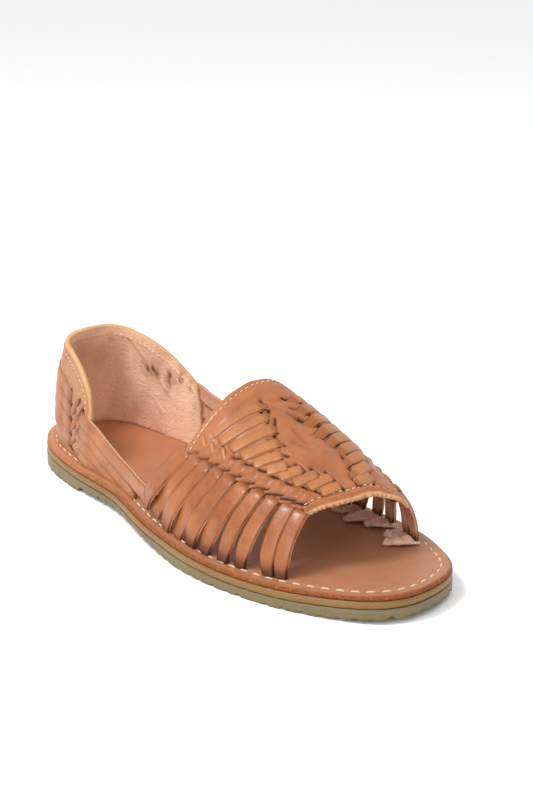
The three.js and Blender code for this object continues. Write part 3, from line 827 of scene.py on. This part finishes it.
class SandalMidsole(bpy.types.Operator):
    """Makes the ochre midsole sheet"""

    bl_idname = "sandal.midsole"
    bl_label = "Midsole"

    def execute(self, context):
        def between(share):
            return lambda x, y: mix(midsole_top(x), midsole_under(x), share) + 0.06 * np.sin(x * 0.7 + y)

        # The fourth column is painted shade along the joins with the insole and the outsole
        rows = [(0, s, between(0), 0, 0) for s in (0.0, 0.6)]
        rows += [
            (0.1, 1, between(0), 0.3, 0), (-0.3, 1, between(0.12), 0.1, 0), (-0.38, 1, between(0.5), 0, 0),
            (-0.3, 1, between(0.9), 0, 0), (0.1, 1, between(1.0), 0.3, 0),
        ]
        rows += [(0, s, between(1.0), 0, 0) for s in (0.6, 0.0)]
        piece = sole_layer("midsole_sheet", "midsole", "midsole", LAYER_POINTS, rows)
        tone = looks().midsole_colour
        wear(piece, rubber("ochre sheet", tone, deep=(0.95, 0.72, 0.5), rough=0.36, cloud=0.9))
        return {"FINISHED"}


class SandalInsole(bpy.types.Operator):
    """Makes the insole with its fibrous edge and sewn channel, and the thread in it"""

    bl_idname = "sandal.insole"
    bl_label = "Insole"

    def execute(self, context):
        line = sizes().sole_stitch / MM

        def top(inward):
            channel = 0.35 * bell(inward - line, 0.7) + 0.5 * bell(inward, 0.7)
            return lambda x, y: footbed_top(x) - channel + 0.12 * np.sin(x * 0.11 + y * 0.07)

        def side(drop):
            return lambda x, y: footbed_top(x) - drop

        def under(rise):
            return lambda x, y: insole_under(x) + rise

        rows = [(8, s, top(8), 0, 0) for s in (0.0, 0.15, 0.3, 0.45, 0.6, 0.75, 0.88)]
        rows += [(d, 1, top(d), 0, 0) for d in (8, 6.4, 5.4, 4.8, line, 4.0, 3.4, 2.4, 1.5)]
        # The fourth column is painted shade, most under the edge where the insole meets the midsole
        rows += [
            (0.9, 1, top(0.9), 0.1, 0.2), (0.35, 1, top(0.35), 0, 0.8), (0.0, 1, side(0.7), 0, 1),
            (-0.15, 1, side(1.2), 0, 1), (0.05, 1, under(0.15), 0.25, 1), (0.3, 1, under(0), 0.5, 1),
        ]
        rows += [(0.3, s, under(0), 0, 0) for s in (0.6, 0.0)]
        piece = sole_layer("insole_top", "insole_leather", "insole", LAYER_POINTS, rows)
        wear(piece, insole_leather(looks()))
        ring = outline(1200, -line)
        x, y = np.concatenate([ring, ring[:1]]).T
        path = np.stack([x, y, footbed_top(x) - 0.12], axis=-1)
        pitch = sizes().stitch_pitch / MM
        body = Body()
        upright = np.tile([0.0, 0.0, 1.0], (len(path), 1))
        stitches(body, path, upright, pitch, length=0.74 * pitch, thick=sizes().thread_thick / MM)
        wear(body.make("sole_thread", "insole_leather"), thread(looks()))
        return {"FINISHED"}


# The vamp


def strip_line(side, row, w):
    """Stations and angles along a raised strip, w = 0 at its outer end and 1 by the ridge."""
    turns = row[6:8] if side < 0 else row[8:10]
    angle = mix(turns[0], turns[1], w)
    station = SOLE * mix(row[4], row[5], w) + float(ahead(side, row[0]))
    return np.minimum(station, toe_edge(side, angle) - 7.2), angle


def slits(side):
    """The cuts of one side, as starts and ends: where straps leave the panel, and where their
    raised strips come out and dive by the ridge, which lean more towards the throat."""
    starts, ends = [], []
    for number, row in enumerate(STRAPS):
        at, turn = SOLE * row[0] + float(ahead(side, row[0])), row[2]
        (near, far), (low, top) = strip_line(side, row, np.array([0.0, 1.0]))
        lean = 4.4 if number > 6 else -2.4 if number > 3 else -0.4
        cuts = [(at - 5.0, turn - 3.4, at + 0.8, turn + 0.6),
                (far - 4.0, top + lean, far + 2.4, top - 0.8 * lean)]
        if number < CROSSED:
            cuts.append((near - 2.8, low - 1.6, near + 2.0, low + 0.8))
        for from_at, from_turn, to_at, to_turn in cuts:
            starts.append(on_last(side, from_at, from_turn) + outward(side, from_at, from_turn))
            ends.append(on_last(side, to_at, to_turn) + outward(side, to_at, to_turn))
    return starts, ends


def panel_surface(rows, columns):
    """The vamp panel's sides, stations and angles on an even grid. Its low edge is scalloped, with
    a tooth over each strap."""
    reach = np.linspace(0, 1, rows)[:, None]
    across = np.linspace(-1, 1, columns)[None]
    side = np.where(across < 0, -1, 1) + 0 * reach
    share = mix(THROAT, TOE_OUTER, reach) / SOLE
    tooth = (np.interp(share, STRAPS[::-1, 0], np.arange(len(STRAPS))) + 0.05) % 1
    low = slit_angle(share) - PANEL_FOOT + 1.0 + 3.6 * tooth * smooth(1.0, 0.78, tooth)
    angle = mix(low, 90, (1 - np.abs(across)) ** 0.8)
    return side, mix(THROAT, toe_edge(side, angle), reach), angle


def panel_relief(centre, out, side, station, angle):
    """How far the panel stands off the last, and how dark it is, part burn and part painted shade:
    sums of bells at its cuts, its puckers between the straps, its folded and sewn borders, its dents,
    creases and one stain."""
    from_toe, from_throat = toe_edge(side, angle) - station, station - THROAT
    cut = np.minimum(*(from_segments(centre + out, *slits(s)) for s in (-1, 1)))
    moved = station - ahead(side, station / SOLE)
    order = np.interp(moved, SOLE * STRAPS[::-1, 0], np.arange(len(STRAPS)))
    strip_start = np.interp(moved, SOLE * STRAPS[::-1, 0], STRAPS[::-1, 6])
    between = (slit_angle(moved / SOLE) + strip_start) / 2 + 0.5
    pucker = bell(angle - between, 3.4) * (0.5 - 0.5 * np.cos(2 * np.pi * order))
    starts, ends = ([on_last(s, a, t) for a, t, s in tips] for tips in zip(*CREASES))
    crease = from_segments(centre, starts, ends)
    relief = 1.1 * pucker * smooth(6, 10, from_throat) - bell(cut, 0.8) - 0.5 * bell(crease, 1.1)
    relief += 0.5 * (1 - smooth(7.0, 9.5, from_throat)) + 0.5 * (1 - smooth(7, 10, from_toe))
    relief -= 0.35 * bell(from_throat - sizes().border_stitch / MM, 0.6)
    relief += 0.9 * bell(from_toe - 2.9, 1.1) - 0.5 * bell(from_toe - TOE_STITCH, 0.7)
    relief += 0.5 * ripple(centre, 16.0, 11) + 0.18 * ripple(centre, 5.0, 12)
    for place, turn, which, deep, wide in DENTS:
        relief -= deep * bell(from_place(centre, which, place, turn), wide)
    # Painted shadow in and round the slits and painted shade in the creases and the toe's stitch groove; the
    # stain and the unevenness are the leather's own
    burn_and_shade = 0.95 * bell(cut, 0.55) + 0.30 * bell(cut, 2.2) + 0.16 * pucker + 0.30 * bell(crease, 1.3)
    burn_and_shade += 0.22 * bell(from_toe - TOE_STITCH, 0.8) + 0.2 * bell(from_toe - 1.5, 0.5)
    burn_and_shade += 0.10 * smooth(0.2, 0.8, ripple(centre, 9.0, 31))
    stain = bell(from_place(centre, -1, 160, 87), 7.0)
    burn_and_shade += 0.24 * stain * (0.6 + 0.8 * ripple(centre, 4.0, 33))
    return relief, burn_and_shade


class SandalPanel(bpy.types.Operator):
    """Makes the vamp panel with its slits, folded toe edge and stitched throat"""

    bl_idname = "sandal.panel"
    bl_label = "Vamp panel"

    def execute(self, context):
        rows, columns = 130, 210
        side, station, angle = panel_surface(rows, columns)
        centre, out = on_last(side, station, angle), outward(side, station, angle)
        half_crown, rounds = 26, 60
        crown = slice(columns // 2 - half_crown, columns // 2 + half_crown)
        for _ in range(rounds):
            centre[:, crown] = evened(centre[:, crown])
            out[:, crown] = unit(evened(out[:, crown]))
        from_toe, from_throat = toe_edge(side, angle) - station, station - THROAT
        from_low = np.minimum(angle - angle[:, :1], angle - angle[:, -1:])
        relief, burn_and_shade = panel_relief(centre, out, side, station, angle)
        low_edge = 1 - smooth(0, 1.6, from_low)
        edge = np.maximum(1 - smooth(0.2, 1.0, np.minimum(from_toe, from_throat)), low_edge)
        thin = (sizes().panel_thick / MM / 2 * (1 - 0.35 * edge))[..., None]
        ragged = bell(from_toe, 1.2) * (0.8 * ripple(centre, 0.9, 3, 9) + 0.4 * ripple(centre, 2.6, 4))
        frayed = centre + ragged[..., None] * [1.0, 0.0, 0.0]
        outer = frayed + out * (relief[..., None] + thin)
        inner = frayed + out * (0.35 * relief[..., None] - thin)
        raw = np.maximum(0.8 * (1 - smooth(0.5, 1.4, from_toe)), 0.5 * (1 - smooth(0, 0.8, from_throat)))
        body = Body()
        body.slab(outer, inner, grid_map(rows, columns, 7, 12), burn_and_shade + 0.30 * low_edge, raw)
        look = looks()
        wear(body.make("vamp_panel", "upper_leather", "upper"),
             leather("panel leather", look.panel_colour, look, deep=(0.86, 0.80, 0.78),
                     light=(1.25, 1.3, 1.4), gloss=0.45, streak=(1, 0.45, 1)))
        sewn = Body()
        column = np.round(np.linspace(0.012, 0.988, 260) * (columns - 1)).astype(int)
        pitch = sizes().fine_pitch / MM
        for values, target in ((from_throat, sizes().border_stitch / MM), (from_toe, TOE_STITCH)):
            row = np.abs(values[:, column] - target).argmin(axis=0)
            up = out[row, column]
            path = running_mean(outer[row, column], 4) + up * 0.32
            stitches(sewn, path, up, pitch, length=0.62 * pitch, thick=0.55)
        wear(sewn.make("vamp_thread", "upper_leather"), thread(look))
        return {"FINISHED"}


def vamp_strap(body, side, number):
    """A strap from under the panel's edge to the insole. Its station and angle run from slit to
    foot, it rises out of the slit, and towards the throat it also weaves up and down by a sine."""
    slit, foot, turn, foot_turn = STRAPS[number, :4]
    seed = number + (20 if side > 0 else 0)
    u = np.linspace(0, 1, 44)
    station = SOLE * mix(slit, foot, u ** 0.9) + float(ahead(side, slit))
    if number == 1:
        station += 1.1 * smooth(0.75, 1, u)
    angle = mix(turn + 4.0, angle_at(station, -0.2) + foot_turn, u)
    lift = (0.25 if number % 2 else 0) - 3.6 * (1 - smooth(0.03, 0.20, u))
    if number >= 5:
        lift += 0.9 * np.sin(np.pi * (2 * u + number)) * smooth(0.5, 0.8, u)
    middle, taper, roll = (7.0, 1.2, -0.1) if number < 4 else (9.6, 1.6, -0.45)
    width = mix(5.8, middle, smooth(0, 0.35, u)) - taper * smooth(0.7, 1.0, u)
    # Painted shadow where the strap comes from under the panel, painted shade towards its foot and on a patch
    # where it bends away
    burn_and_shade = 0.85 * (1 - smooth(0.10, 0.22, u)) + (0.86 if number < 6 else 0.5) * smooth(0.72, 0.95, u)
    burn_and_shade += 0.30 * bell(u - 0.42 - 0.12 * math.sin(2.3 * seed), 0.13)
    ribbon(body, side, station, angle, width, inside=0.2, thick=sizes().strap_thick / MM,
           crown=sizes().strap_crown / MM, lift=lift, roll=roll, burn_and_shade=burn_and_shade, seed=seed)


def raised_strip(body, side, number):
    """A strip on the panel between its two slits, diving at both ends, and towards the throat the
    short upright bit that crosses its outer end."""
    seed = number + (20 if side > 0 else 0)
    w = np.linspace(-0.05, 1.14, 34)
    station, angle = strip_line(side, STRAPS[number], w)
    shown = smooth(-0.05, 0.06, w) * (1 - smooth(0.94, 1.14, w))
    width = STRIP_WIDTH - (0.9 if number < 4 else 0.0) * np.abs(2 * w - 1) ** 3
    # Painted shadow at both ends, where the strip dives into its slits
    burn_and_shade = 0.6 * (1 - smooth(0, 0.12, w) * (1 - smooth(0.84, 1, w)))
    ribbon(body, side, station, angle, width, inside=0.1, thick=1.45, crown=0.2, lift=-2.0 * (1 - shown),
           roll=0.24, burn_and_shade=burn_and_shade, seed=seed + 50)
    if number >= CROSSED:
        half = STRIP_WIDTH / 2 + 0.05
        across = np.linspace(-half, half, 11)
        ends = smooth(0.7, 1.0, np.abs(across) / half)
        # The crossing bit has painted shadow at its ends, where it dives
        ribbon(body, side, station[1] - 0.9 + across, angle[1] - 2.6 - 0.8 * across, width=2.0, inside=0.7,
               thick=1.3, crown=0.25, lift=-1.2 * ends, burn_and_shade=0.6 * ends, seed=seed + 90)


def strap_tail(body, number):
    """A ragged rough end on the insole: a rounded tongue as wide as the root of a parabola, with a
    bumpy top."""
    slit, foot = STRAPS[number, :2]
    seed = number + 20
    place = SOLE * foot + float(ahead(1, slit))
    inward = np.linspace(0, 1, 16)
    x = place + 1.0 - 7.0 * inward ** 1.5
    y = side_half(1, place) + 1.0 - (10.5 + 3.5 * math.sin(1.7 * seed)) * inward
    arch = 1.3 * np.sin(np.pi * inward) * (seed % 3 > 0)
    centre = np.stack([x, y, footbed_top(x) + 0.5 + arch], axis=-1)
    width = 8.4 * np.sqrt(np.maximum(1 - (inward - 0.3) ** 2 / 0.5, 0.02))
    across = np.cross(unit(np.gradient(centre, axis=0)), [0, 0, 1.0])[:, None]
    v = SECTION[None, :, None]
    flat = centre[:, None] + across * v * down_the_strap(width)
    bumps = 1.0 + 0.5 * (1 - 4 * v ** 2) + 0.9 * ripple(flat, 2.2, seed)[..., None]
    up = np.array([0, 0, 1.0]) * bumps
    body.slab(flat + up, flat - up * 0.3, grid_map(16, len(SECTION), 1, 1), 0.0, 0.1, 1.0)


class SandalStraps(bpy.types.Operator):
    """Makes the vamp's straps, from their slits in the panel to the insole, and the raised strips"""

    bl_idname = "sandal.straps"
    bl_label = "Vamp straps"

    def execute(self, context):
        low, high, tails = Body(), Body(), Body()
        for side in (-1, 1):
            for number in range(len(STRAPS)):
                vamp_strap(low, side, number)
                raised_strip(high, side, number)
        for number in range(TAILS):
            strap_tail(tails, number)
        look = looks()
        # The raised strips are the straps' own leather, made lighter as painted light on their upward faces
        lit_strip_colour = rgba(look.strap_colour, 1.28, 1.6, 2.2)[:3]
        wear(low.make("vamp_straps", "upper_leather"),
             leather("strap leather", look.strap_colour, look, deep=(0.66, 0.50, 0.4),
                     light=(1.6, 2.0, 2.8), gloss=0.95, streak=(1, 1, 0.5)))
        wear(high.make("raised_strips", "upper_leather"),
             leather("strip leather", lit_strip_colour, look, deep=(0.8,), light=(1.25,), gloss=0.75))
        wear(tails.make("strap_tails", "upper_leather"),
             leather("flesh leather", look.flesh_colour, look, deep=(1,), light=(1,), gloss=0.0,
                     flesh=look.tail_colour))
        return {"FINISHED"}


# The heel


def counter_surface(rows, columns):
    """The counter's sides, stations, angles and rim heights: round the heel, and from the footbed
    to the rim."""
    full = np.linspace(-(COUNTER_END[-1] - BACK), COUNTER_END[1] - BACK, rows)[:, None]
    side = np.where(full < 0, -1, 1) + np.zeros((1, columns), int)
    end = np.where(full < 0, COUNTER_END[-1], COUNTER_END[1])
    station = BACK + np.abs(full)
    way = (station - BACK) / (end - BACK)
    rim = COUNTER * np.where(full < 0, rim_share[-1](way), rim_share[1](way))
    v = np.linspace(0, 1, columns)[None]
    return side, station + 0 * v, angle_at(station, mix(-0.1, rim, v)), rim


def band_angle(row, station):
    """Angle of a side strap's middle: a curve through its heights at the table's places."""
    places = np.stack([np.where(BAND_PLACES == 0, BACK, SOLE * BAND_PLACES), row[:-1]], axis=1)
    return angle_at(station, COUNTER_FRONT * through(places, 1)(station))


def counter_slits(above):
    """The counter's cuts as starts and ends at a height above the last: one across each side strap
    at each column, leaning a little."""
    starts, ends = [], []
    for side, rows in BANDS.items():
        for row in rows:
            for place, tilt in ((FRONT_COLUMN, 3.0), (REAR_COLUMN, -2.0), (BACK + BACK_COLUMN, 0.0)):
                middle = float(band_angle(row, place))
                if middle >= 1:
                    rise = outward(side, place, middle) * above
                    starts.append(on_last(side, place - tilt / 2, middle - SLIT_HALF) + rise)
                    ends.append(on_last(side, place + tilt / 2, middle + SLIT_HALF) + rise)
    return starts, ends


def over_hidden(side, station, angle):
    """1 over a side strap's middle between the two columns of slits, where it runs behind."""
    hidden = np.zeros_like(angle)
    for which, rows in BANDS.items():
        for row in rows:
            off = np.radians(angle - band_angle(row, station)) * INSTEP * last_height(0.2)
            hidden = np.maximum(hidden, (side == which) * bell(off, 3.0))
    past_rear = smooth(REAR_COLUMN - 1, REAR_COLUMN + 2, station)
    return hidden * past_rear * (1 - smooth(FRONT_COLUMN - 2, FRONT_COLUMN + 1, station))


def lining_wear_and_shade(centre, side, station, height, crease):
    """How dark the lining is: blotches on the inner side and its stains, with painted shade on its upper part
    and in its creases, and a painted shadow along its foot by the insole.
    """
    blotch = smooth(0.1, 0.6, ripple(centre, 6.0, 25)) * bell(height - 30, 10)
    dark = 0.5 * blotch * bell(station - 60, 14) * (side > 0) + 0.16 * bell(crease, 1.1)
    dark += 0.16 * smooth(0.0, 0.9, ripple(centre, 17.0, 26)) + 0.14 * smooth(18, 42, height)
    uneven = 0.7 + 0.5 * ripple(centre, 2.5, 27)
    for place, up, deep, wide in LINING_STAINS:
        dark += deep * bell(from_place(centre, 1, place, angle_at(place, up)), wide) * uneven
    return dark + 0.35 * (1 - smooth(0, 2.0, height))


class SandalCounter(bpy.types.Operator):
    """Makes the heel counter with its lining, raw rim and columns of slits"""

    bl_idname = "sandal.counter"
    bl_label = "Heel counter"

    def execute(self, context):
        rows, columns = 220, 64
        side, station, angle, rim = counter_surface(rows, columns)
        centre, out = on_last(side, station, angle), outward(side, station, angle)
        at_back = (station - BACK < 1.2)[..., None]
        out = np.where(at_back, unit(out * [1, 0, 1]), out)
        half = COUNTER_THICK / 2
        height = centre[..., 2] - footbed_top(centre[..., 0])
        below = rim - height
        cut = from_segments(centre + out * half, *counter_slits(half))
        starts, ends = ([on_last(1, a, angle_at(a, up)) for a, up in tips] for tips in zip(*LINING_CREASES))
        crease = from_segments(centre, starts, ends)
        groove = bell(below - RIM_STITCH, 0.6)
        relief = 0.9 * over_hidden(side, station, angle) - 0.8 * bell(cut, 0.8)
        relief += 0.25 * ripple(centre, 14.0, 21) - 0.3 * groove
        sunk = 0.25 * groove - 0.3 * ripple(centre, 18.0, 22) + 0.5 * bell(crease, 1.0)
        from_front = np.where(side < 0, COUNTER_END[-1], COUNTER_END[1]) - station
        edge = np.maximum(1 - smooth(0.1, 1.5, below), 1 - smooth(0.2, 1.2, from_front))
        thin = half * (1 - 0.25 * edge)
        outer = centre + out * (relief + thin)[..., None]
        inner = centre - out * (thin + sunk)[..., None]
        # Painted shadow round the slits outside; on the lining the mask is its stains with painted shade
        burn_and_shade = bell(cut, 0.8) + 0.35 * bell(cut, 2.4)
        both = np.stack([burn_and_shade, lining_wear_and_shade(centre, side, station, height, crease)])
        body = Body()
        body.slab(outer, inner, grid_map(rows, columns, 12, 5), both, edge)
        look = looks()
        wear(body.make("heel_counter", "upper_leather"),
             leather("counter leather", look.counter_colour, look, deep=(0.84, 0.78, 0.75),
                     light=(1.22, 1.25, 1.3), gloss=0.30, streak=(0.5, 0.5, 1), flesh=look.lining_colour))
        sewn = Body()
        first, last = 7, rows - 8
        row = np.arange(first, last + 1)
        level = np.abs(below[row] - RIM_STITCH).argmin(axis=1)
        # The line of stitches also comes down both front ends
        row = np.concatenate([np.full(level[0] - 4, first), row, np.full(level[-1] - 4, last)])
        level = np.concatenate([np.arange(4, level[0]), level, np.arange(level[-1], 4, -1)])
        for grid, sign in ((outer, 1), (inner, -1)):
            up = sign * out[row, level]
            path = running_mean(grid[row, level] + up * 0.05, 5)
            stitches(sewn, path, up, pitch=2.9, length=1.7, thick=0.5)
        wear(sewn.make("counter_thread", "upper_leather"), thread(look))
        return {"FINISHED"}


def braid_loop(body, side, middle, seed):
    """A slanting loop of the braid between two columns of slits, widest and highest in its middle."""
    w = np.linspace(0, 1, 20)
    arch = np.sin(np.pi * w)
    station = mix(REAR_COLUMN - 1.5, FRONT_COLUMN - 1.5, w)
    # Painted shadow at its ends, where it dives into the slits
    ribbon(body, side, station, middle + mix(-5.5, 4.0, w), width=1.2 + 2.9 * arch, inside=0.7, thick=1.2,
           crown=0.5, lift=-0.9 * (1 - np.sqrt(arch)), burn_and_shade=0.85 - 0.5 * arch, seed=seed)


def back_band(body, side, row, thick, seed):
    """The rear length of a side strap, from the back slit to the rear column."""
    station = np.linspace(BACK + BACK_COLUMN - 1.5, REAR_COLUMN + 1.5, 30)
    u = np.linspace(0, 1, 30)
    ends = smooth(0, 0.12, u) * (1 - smooth(0.88, 1, u))
    # Painted shadow at both ends, where it dives into the slits
    burn_and_shade = 0.85 * (1 - smooth(0, 0.22, u) * (1 - smooth(0.78, 1, u)))
    ribbon(body, side, station, band_angle(row, station), BAND_WIDTH, inside=0.3, thick=thick, crown=0.3,
           lift=-0.8 * (1 - ends), roll=0.34, burn_and_shade=burn_and_shade, seed=seed)


def waist_band(body, side, number, row, thick, seed):
    """The front length of a side strap, from the front column along the waist. It rises out of its
    slit, lies on the counter up to the counter's end and then weaves by a sine of its station."""
    station = np.linspace(FRONT_COLUMN - 1.5, SOLE * row[-1], 70)
    u = np.linspace(0, 1, 70)
    on_counter = 1 - smooth(COUNTER_END[side] - 2, COUNTER_END[side] + 5, station)
    weave = 0.6 * np.sin(np.pi * (station / 8 + number)) * smooth(0.42, 0.47, station / SOLE)
    lift = 1.1 * on_counter + weave - (1 - smooth(0, 0.05, u))
    angle = np.maximum(band_angle(row, station), angle_at(station, -1.0))
    # Painted shadow where it comes out of its slit and at its far end
    burn_and_shade = 0.9 * (1 - smooth(0, 0.07, u)) + 0.5 * smooth(0.9, 1.0, u)
    ribbon(body, side, station, angle, BAND_WIDTH, inside=-0.6, thick=thick, crown=0.5, lift=lift,
           roll=0.38, burn_and_shade=burn_and_shade, seed=seed)


class SandalBands(bpy.types.Operator):
    """Makes the side straps that leave the counter's slits and run into the weave of the waist"""

    bl_idname = "sandal.bands"
    bl_label = "Side straps"

    def execute(self, context):
        thick = sizes().strap_thick / MM
        body = Body()
        for side, rows in BANDS.items():
            for number, row in enumerate(rows):
                seed = 120 + number + (10 if side > 0 else 0)
                middle = float(band_angle(row, 0.5 * (REAR_COLUMN + FRONT_COLUMN)))
                if middle > 4:
                    braid_loop(body, side, middle, seed + 80)
                back_band(body, side, row, thick * 0.8, seed)
                waist_band(body, side, number, row, thick, seed + 40)
        look = looks()
        tone = np.mean([look.strap_colour[:], look.counter_colour[:]], axis=0)
        wear(body.make("side_straps", "upper_leather"),
             leather("side strap leather", tone, look, deep=(0.68, 0.56, 0.42), light=(1.4,), gloss=0.7))
        return {"FINISHED"}


# The stage


FLOOR_REACH = 14.0
# Each lamp's name, place, size and power, all aimed at one point of the shoe
LAMPS = (
    ("key", (-0.10, -0.55, 1.05), 0.30, 8.8),
    ("front", (0.35, -1.05, 0.50), 0.5, 4.0),
    ("far", (0.30, 0.80, 0.90), 0.6, 1.0),
)
LIT = Vector((0.09, 0, 0.03))
# The camera's place in millimetres from the sole's back end, its direction, roll and lens
CAMERA_PLACE = Vector((653.3, -427.1, 297.2))
CAMERA_LOOK = Vector((-0.7179, 0.6117, -0.3323))
CAMERA_ROLL = 0.013
CAMERA_LENS = 74.1


class SandalStage(bpy.types.Operator):
    """Sets the pale floor, soft studio lights and the camera at the photograph's angle"""

    bl_idname = "sandal.stage"
    bl_label = "Stage"

    def execute(self, context):
        scene = bpy.context.scene
        mesh = bpy.data.meshes.new("floor")
        corners = [(FLOOR_REACH * x, FLOOR_REACH * y, 0) for x, y in ((-1, -1), (1, -1), (1, 1), (-1, 1))]
        mesh.from_pydata(corners, [], [(0, 1, 2, 3)])
        floor = bpy.data.objects.new("floor", mesh)
        scene.collection.objects.link(floor)
        surface = Shade("studio floor", roughness=0.9, specular_ior_level=0.1)
        surface.put("Base Color", rgba(looks().floor_colour))
        mesh.materials.append(surface.material)
        world = bpy.data.worlds.new("studio")
        world.use_nodes = True
        sky = world.node_tree.nodes["Background"].inputs
        sky["Color"].default_value = (1, 1, 1, 1)
        sky["Strength"].default_value = 0.93
        scene.world = world
        scene.view_settings.view_transform = "Standard"
        for name, place, size, power in LAMPS:
            lamp = bpy.data.lights.new(name, "AREA")
            lamp.size, lamp.energy = size, power
            light = bpy.data.objects.new(name, lamp)
            light.location = place
            light.rotation_mode = "QUATERNION"
            light.rotation_quaternion = (LIT - Vector(place)).to_track_quat("-Z", "Y")
            scene.collection.objects.link(light)
        view = bpy.data.cameras.new("camera")
        view.sensor_width, view.lens = 36.0, CAMERA_LENS
        view.clip_start, view.clip_end = 0.01, 30.0
        camera = bpy.data.objects.new("camera", view)
        place = Matrix.Translation((CAMERA_PLACE - Vector((HEEL_CENTRE, 0, 0))) * MM)
        turn = CAMERA_LOOK.to_track_quat("-Z", "Y").to_matrix().to_4x4()
        camera.matrix_world = place @ turn @ Matrix.Rotation(CAMERA_ROLL, 4, "Z")
        scene.collection.objects.link(camera)
        scene.camera = camera
        return {"FINISHED"}


STEPS = (SandalStage, SandalOutsole, SandalMidsole, SandalInsole, SandalPanel, SandalStraps, SandalCounter,
         SandalBands)


class SandalSidebar(bpy.types.Panel):
    """The sandal's sizes, colours and pieces"""

    bl_idname = "VIEW3D_PT_sandal"
    bl_label = "Sandal"
    bl_space_type = "VIEW_3D"
    bl_region_type = "UI"
    bl_category = "Sandal"

    def draw(self, context):
        column = self.layout.column()
        for group in (context.scene.sandal_sizes, context.scene.sandal_looks):
            for label in group.bl_rna.properties.keys():
                if label not in ("rna_type", "name"):
                    column.prop(group, label)
        for step in STEPS:
            column.operator(step.bl_idname)


CLASSES = (SandalSizes, SandalLooks, *STEPS, SandalSidebar)


def register():
    for made in CLASSES:
        bpy.utils.register_class(made)
    bpy.types.Scene.sandal_sizes = bpy.props.PointerProperty(type=SandalSizes)
    bpy.types.Scene.sandal_looks = bpy.props.PointerProperty(type=SandalLooks)


def unregister():
    del bpy.types.Scene.sandal_sizes
    del bpy.types.Scene.sandal_looks
    for made in reversed(CLASSES):
        bpy.utils.unregister_class(made)


def main():
    register()
    for step in STEPS:
        getattr(bpy.ops.sandal, step.bl_idname.split(".")[1])()


if __name__ == "__main__":
    main()
